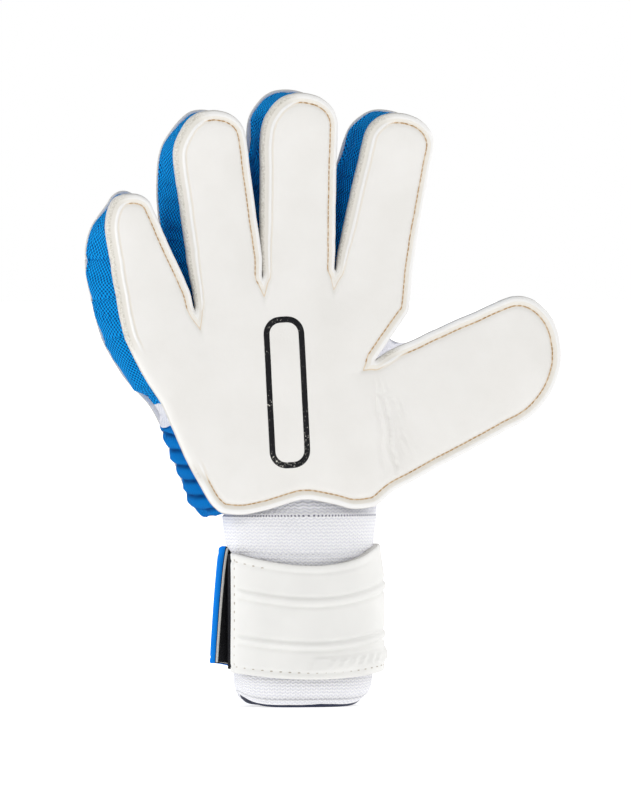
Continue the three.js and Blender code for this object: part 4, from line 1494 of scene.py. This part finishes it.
def foam_material(name, base, dark, specular=0.4):
    """Smooth foam, with painted shade in its grooves."""
    made = Finish(name, specular=specular)
    light = tuple(min(1, c * 1.05) for c in base)
    shade = made.mix(made.noise(20).ramp(0.35, 0.7), base, light)
    # Painted shade: the groove attribute darkens the foam towards its dark colour.
    made.set("Base Color", made.mix(made.attribute("groove") * 0.8, shade, dark))
    grain = made.noise(0.7, 3, 0.6)
    made.bump(grain, 0.07, 0.5)
    made.set("Roughness", grain.ramp(0.3, 0.7, 0.48, 0.66))
    return made.material


def mesh_material(name, dark, light, gap, pitch=1.5, painted_glow=0.0):
    """Knitted mesh: slanting ribs made of rows of small raised loops, with painted shade in the valleys of
    its gathers. Its glow is emission: painted light that lifts the fabric out of its shade.
    """
    made = Finish(name, 0.95, specular=0.08)
    made.set("Emission Color", light)
    made.set("Emission Strength", painted_glow)
    u, v = made.uv(0), made.uv(1)
    rib = (u * 0.75 + v).wave(pitch)
    across = (u - v * 0.6).wave(pitch * 0.85)
    weave = rib * 0.55 + across * 0.4
    height = weave + made.noise(0.7, 3, 0.7) * 0.4
    shade = made.mix(height.ramp(-0.35, 0.75), dark, light)
    shade = made.mix(made.noise(9, 3).ramp(0.3, 0.75) * 0.25, shade, light)
    shade = made.mix(weave.ramp(-0.3, -0.75) * 0.85, shade, gap)
    # Painted shade: the gap colour darkens the valleys of the gathers.
    made.set("Base Color", made.mix(made.attribute("fold").ramp(0.75, 0.25) * 0.75, shade, gap))
    made.bump(height, 0.35, 0.9)
    return made.material


def knit_material():
    """White knit with zigzag courses, painted shade above the hem under the palm's heel, and a row of needle
    holes at the hem.
    """
    made = Finish("white_knit", 0.9, 0.2)
    u, v = made.uv(0), made.uv(1)
    course = (v + u.maths("PINGPONG", 1.2) * 0.75).wave(1.65)
    height = course * 0.5 + u.wave(1.15) * 0.18 + made.noise(0.45, 3, 0.7) * 0.35
    shade = made.mix(height.ramp(-0.3, 0.45), (0.83, 0.83, 0.895), (0.985, 0.985, 0.995))
    # Painted shade on the knit above the hem, where it lies under the palm's heel.
    painted_heel_shade = v.ramp(HEM_Z + 0.2, HEM_Z + 2.5)
    shade = made.mix(painted_heel_shade * 0.15, shade, (0.55, 0.55, 0.64))
    hole = u.maths("PINGPONG", 0.75).ramp(0.4, 0.18) * (v - HEM_Z).maths("ABSOLUTE").ramp(0.55, 0.3)
    made.set("Base Color", made.mix(hole, shade, (0.16, 0.15, 0.22)))
    made.bump(height - hole, 0.3, 0.75)
    return made.material


def tape_material(name, base, light, pitch):
    """Hook or loop tape: a dense pile in rows."""
    made = Finish(name, 0.95, 0.04, 0.1)
    fuzz = made.noise(0.6, 4, 0.8)
    made.set("Base Color", made.mix(fuzz.ramp(0.5, 0.85), base, light))
    made.bump(made.cells(pitch) + fuzz, 0.5, 1.0)
    return made.material


def woven_material(name, base, light, pitch):
    made = Finish(name, 0.75, 0.2)
    weave = made.uv(0).wave(pitch) * made.uv(1).wave(pitch)
    made.set("Base Color", made.mix(weave.ramp(-1, 1), base, light))
    made.bump(weave, 0.2, 0.8)
    return made.material


def lining_material():
    made = Finish("brushed_lining", 0.95, 0.3)
    nap = made.noise(0.7, 4, 0.75)
    made.set("Base Color", made.mix(nap, (0.66, 0.67, 0.72), (0.86, 0.87, 0.90)))
    made.bump(nap, 0.4, 0.8)
    return made.material


def thread_material(name, dark, light, shadow):
    """Twisted thread whose colour fades from place to place."""
    made = Finish(name, 0.7, 0.2)
    twist = made.node("ShaderNodeTexWave", {"Vector": made.place(), "Scale": 1.4, "Distortion": 1.5}, "Fac")
    shade = made.mix(made.noise(9).ramp(0.35, 0.65), dark, light)
    made.set("Base Color", made.mix(twist * 0.35, shade, shadow))
    made.bump(twist, 0.08, 0.8)
    return made.material


def ink_material():
    """Black print, worn through to the foam in small flecks."""
    made = Finish("worn_print", specular=0.1)
    flecks = made.noise(1.1, 4, 0.75)
    worn = (flecks + made.noise(16) * 0.35).ramp(0.80, 0.88)
    made.set("Base Color", made.mix(worn, (0.012, 0.012, 0.014), (0.80, 0.77, 0.69)))
    made.bump(flecks, 0.05, 0.5)
    made.set("Roughness", flecks.ramp(0.3, 0.7, 0.42, 0.7))
    return made.material


# Fabrics: dark, light and gap colours, pitch, glow; the gap colour also paints shade into the gathers'
# valleys, and the glow is painted light. Foams: base colour, the colour of painted shade in their grooves,
# shine. Tapes: base and light colours, pitch. Threads: dark, light and shadow colours.
WHITE_FABRIC = ((0.80, 0.80, 0.87), (0.96, 0.96, 0.985), (0.6, 0.6, 0.7), 1.5)
FABRICS = {
    "blue_mesh": ((0.0, 0.07, 0.28), (0.003, 0.37, 0.92), (0.0, 0.018, 0.10), 1.9),
    "blue_elastic": ((0.0, 0.08, 0.36), (0.003, 0.30, 0.88), (0.0, 0.02, 0.13), 1.3),
    "white_mesh": WHITE_FABRIC,
    # The web mesh glows: painted light that lifts it out of its shade.
    "web_mesh": (*WHITE_FABRIC, 0.3),
}
FOAMS = {
    "back_foam": ((0.82, 0.82, 0.81), (0.50, 0.52, 0.56)),
    "strap_foam": ((0.84, 0.835, 0.81), (0.40, 0.42, 0.46)),
    "blue_cover": ((0.001, 0.235, 0.86), (0.0, 0.07, 0.34), 0.12),
}
TAPES = {
    "black_hook_tape": ((0.010, 0.010, 0.013), (0.06, 0.06, 0.07), 0.9),
    "black_loop_tape": ((0.016, 0.016, 0.02), (0.09, 0.09, 0.1), 0.7),
}
THREADS = {
    "tan_thread": ((0.56, 0.34, 0.14), (0.78, 0.58, 0.36), (0.34, 0.19, 0.07)),
    "pale_thread": ((0.52, 0.45, 0.36), (0.66, 0.62, 0.55), (0.3, 0.26, 0.2)),
}


def all_materials():
    made = {
        "latex": latex_material(),
        "raw_edge": raw_edge_material(),
        "lining": lining_material(),
        "knit": knit_material(),
        "binding": woven_material("navy_binding", (0.006, 0.009, 0.03), (0.02, 0.03, 0.09), 1.1),
        "ink": ink_material(),
    }
    makers = (mesh_material, foam_material, tape_material, thread_material)
    for make, family in zip(makers, (FABRICS, FOAMS, TAPES, THREADS)):
        made.update({name: make(name, *values) for name, values in family.items()})
    return made


# ---- stage ----

ROOM_LIGHT = 0.5
FLOOR_GLOW = 0.6
FLOOR_REACH = 20000
KEY_WATTS = 6
EDGE_WATTS = 8
# Area lights: place, size and watts.
LIGHTS = {
    "key": ((-500, -1500, 900), (900, 900), KEY_WATTS),
    "left_edge": ((-1300, 500, 500), (700, 1200), EDGE_WATTS),
    "right_edge": ((1300, 300, 500), (700, 1200), EDGE_WATTS),
}
LIGHT_TARGET = (0, 15, 150)
CAMERA = {"azimuth": -15, "elevation": 1.0, "distance": 6000, "lens": 555, "target": (5.85, 16.63, 148.9)}


def place_towards(thing, place, target):
    thing.location = Vector(place) / 1000
    thing.rotation_euler = (Vector(target) - Vector(place)).to_track_quat("-Z", "Y").to_euler()
    bpy.context.scene.collection.objects.link(thing)


def build_camera():
    azimuth, elevation = math.radians(CAMERA["azimuth"]), math.radians(CAMERA["elevation"])
    level = math.cos(elevation)
    back = Vector((math.sin(azimuth) * level, -math.cos(azimuth) * level, math.sin(elevation)))
    camera = bpy.data.objects.new("camera", bpy.data.cameras.new("camera"))
    camera.data.lens = CAMERA["lens"]
    camera.data.sensor_width = 36
    camera.data.clip_end = 50
    place_towards(camera, Vector(CAMERA["target"]) + back * CAMERA["distance"], CAMERA["target"])
    bpy.context.scene.camera = camera


def build_floor():
    """A pale floor that fades to white for the camera alone."""
    made = Finish("pale_floor", 0.7)
    made.set("Base Color", made.mix(made.noise(300), (0.62, 0.62, 0.63), (0.66, 0.66, 0.66)))
    made.set("Emission Color", (1.0, 1.0, 1.0))
    far = made.node("ShaderNodeVectorMath", {0: made.place()}, "Value", operation="LENGTH")
    made.set("Emission Strength", far.ramp(150, 700) * made.camera_ray() * 0.6 + FLOOR_GLOW)
    corners = [(x * FLOOR_REACH, y * FLOOR_REACH, 0) for x, y in ((-1, -1), (1, -1), (1, 1), (-1, 1))]
    mesh_object("floor", corners, [[0, 1, 2, 3]], [made.material])


def build_room():
    """A white world, dimmer as a light than to the camera, and the area lights."""
    world = bpy.data.worlds.new("studio")
    bpy.context.scene.world = world
    world.use_nodes = True
    sky = Shader(world.node_tree)
    background = world.node_tree.nodes["Background"]
    sky.plug(background, "Color", (1.0, 1.0, 1.0))
    sky.plug(background, "Strength", sky.camera_ray().ramp(0.0, 1.0, ROOM_LIGHT, 1.0))
    for name, (place, size, watts) in LIGHTS.items():
        light = bpy.data.objects.new(name, bpy.data.lights.new(name, "AREA"))
        light.data.shape = "RECTANGLE"
        light.data.size, light.data.size_y = (s / 1000 for s in size)
        light.data.energy = watts
        place_towards(light, place, LIGHT_TARGET)
    bpy.context.scene.view_settings.view_transform = "Standard"


# ---- build ----

materials = all_materials()
build_sheets(materials)
build_walls(materials)
seam_stitches(materials["tan_thread"])
palm_mark(materials["ink"])
build_sleeve(materials)
build_binding(materials["binding"])
build_strap(materials)
knuckle_guard(materials["blue_cover"])
build_camera()
build_floor()
build_room()
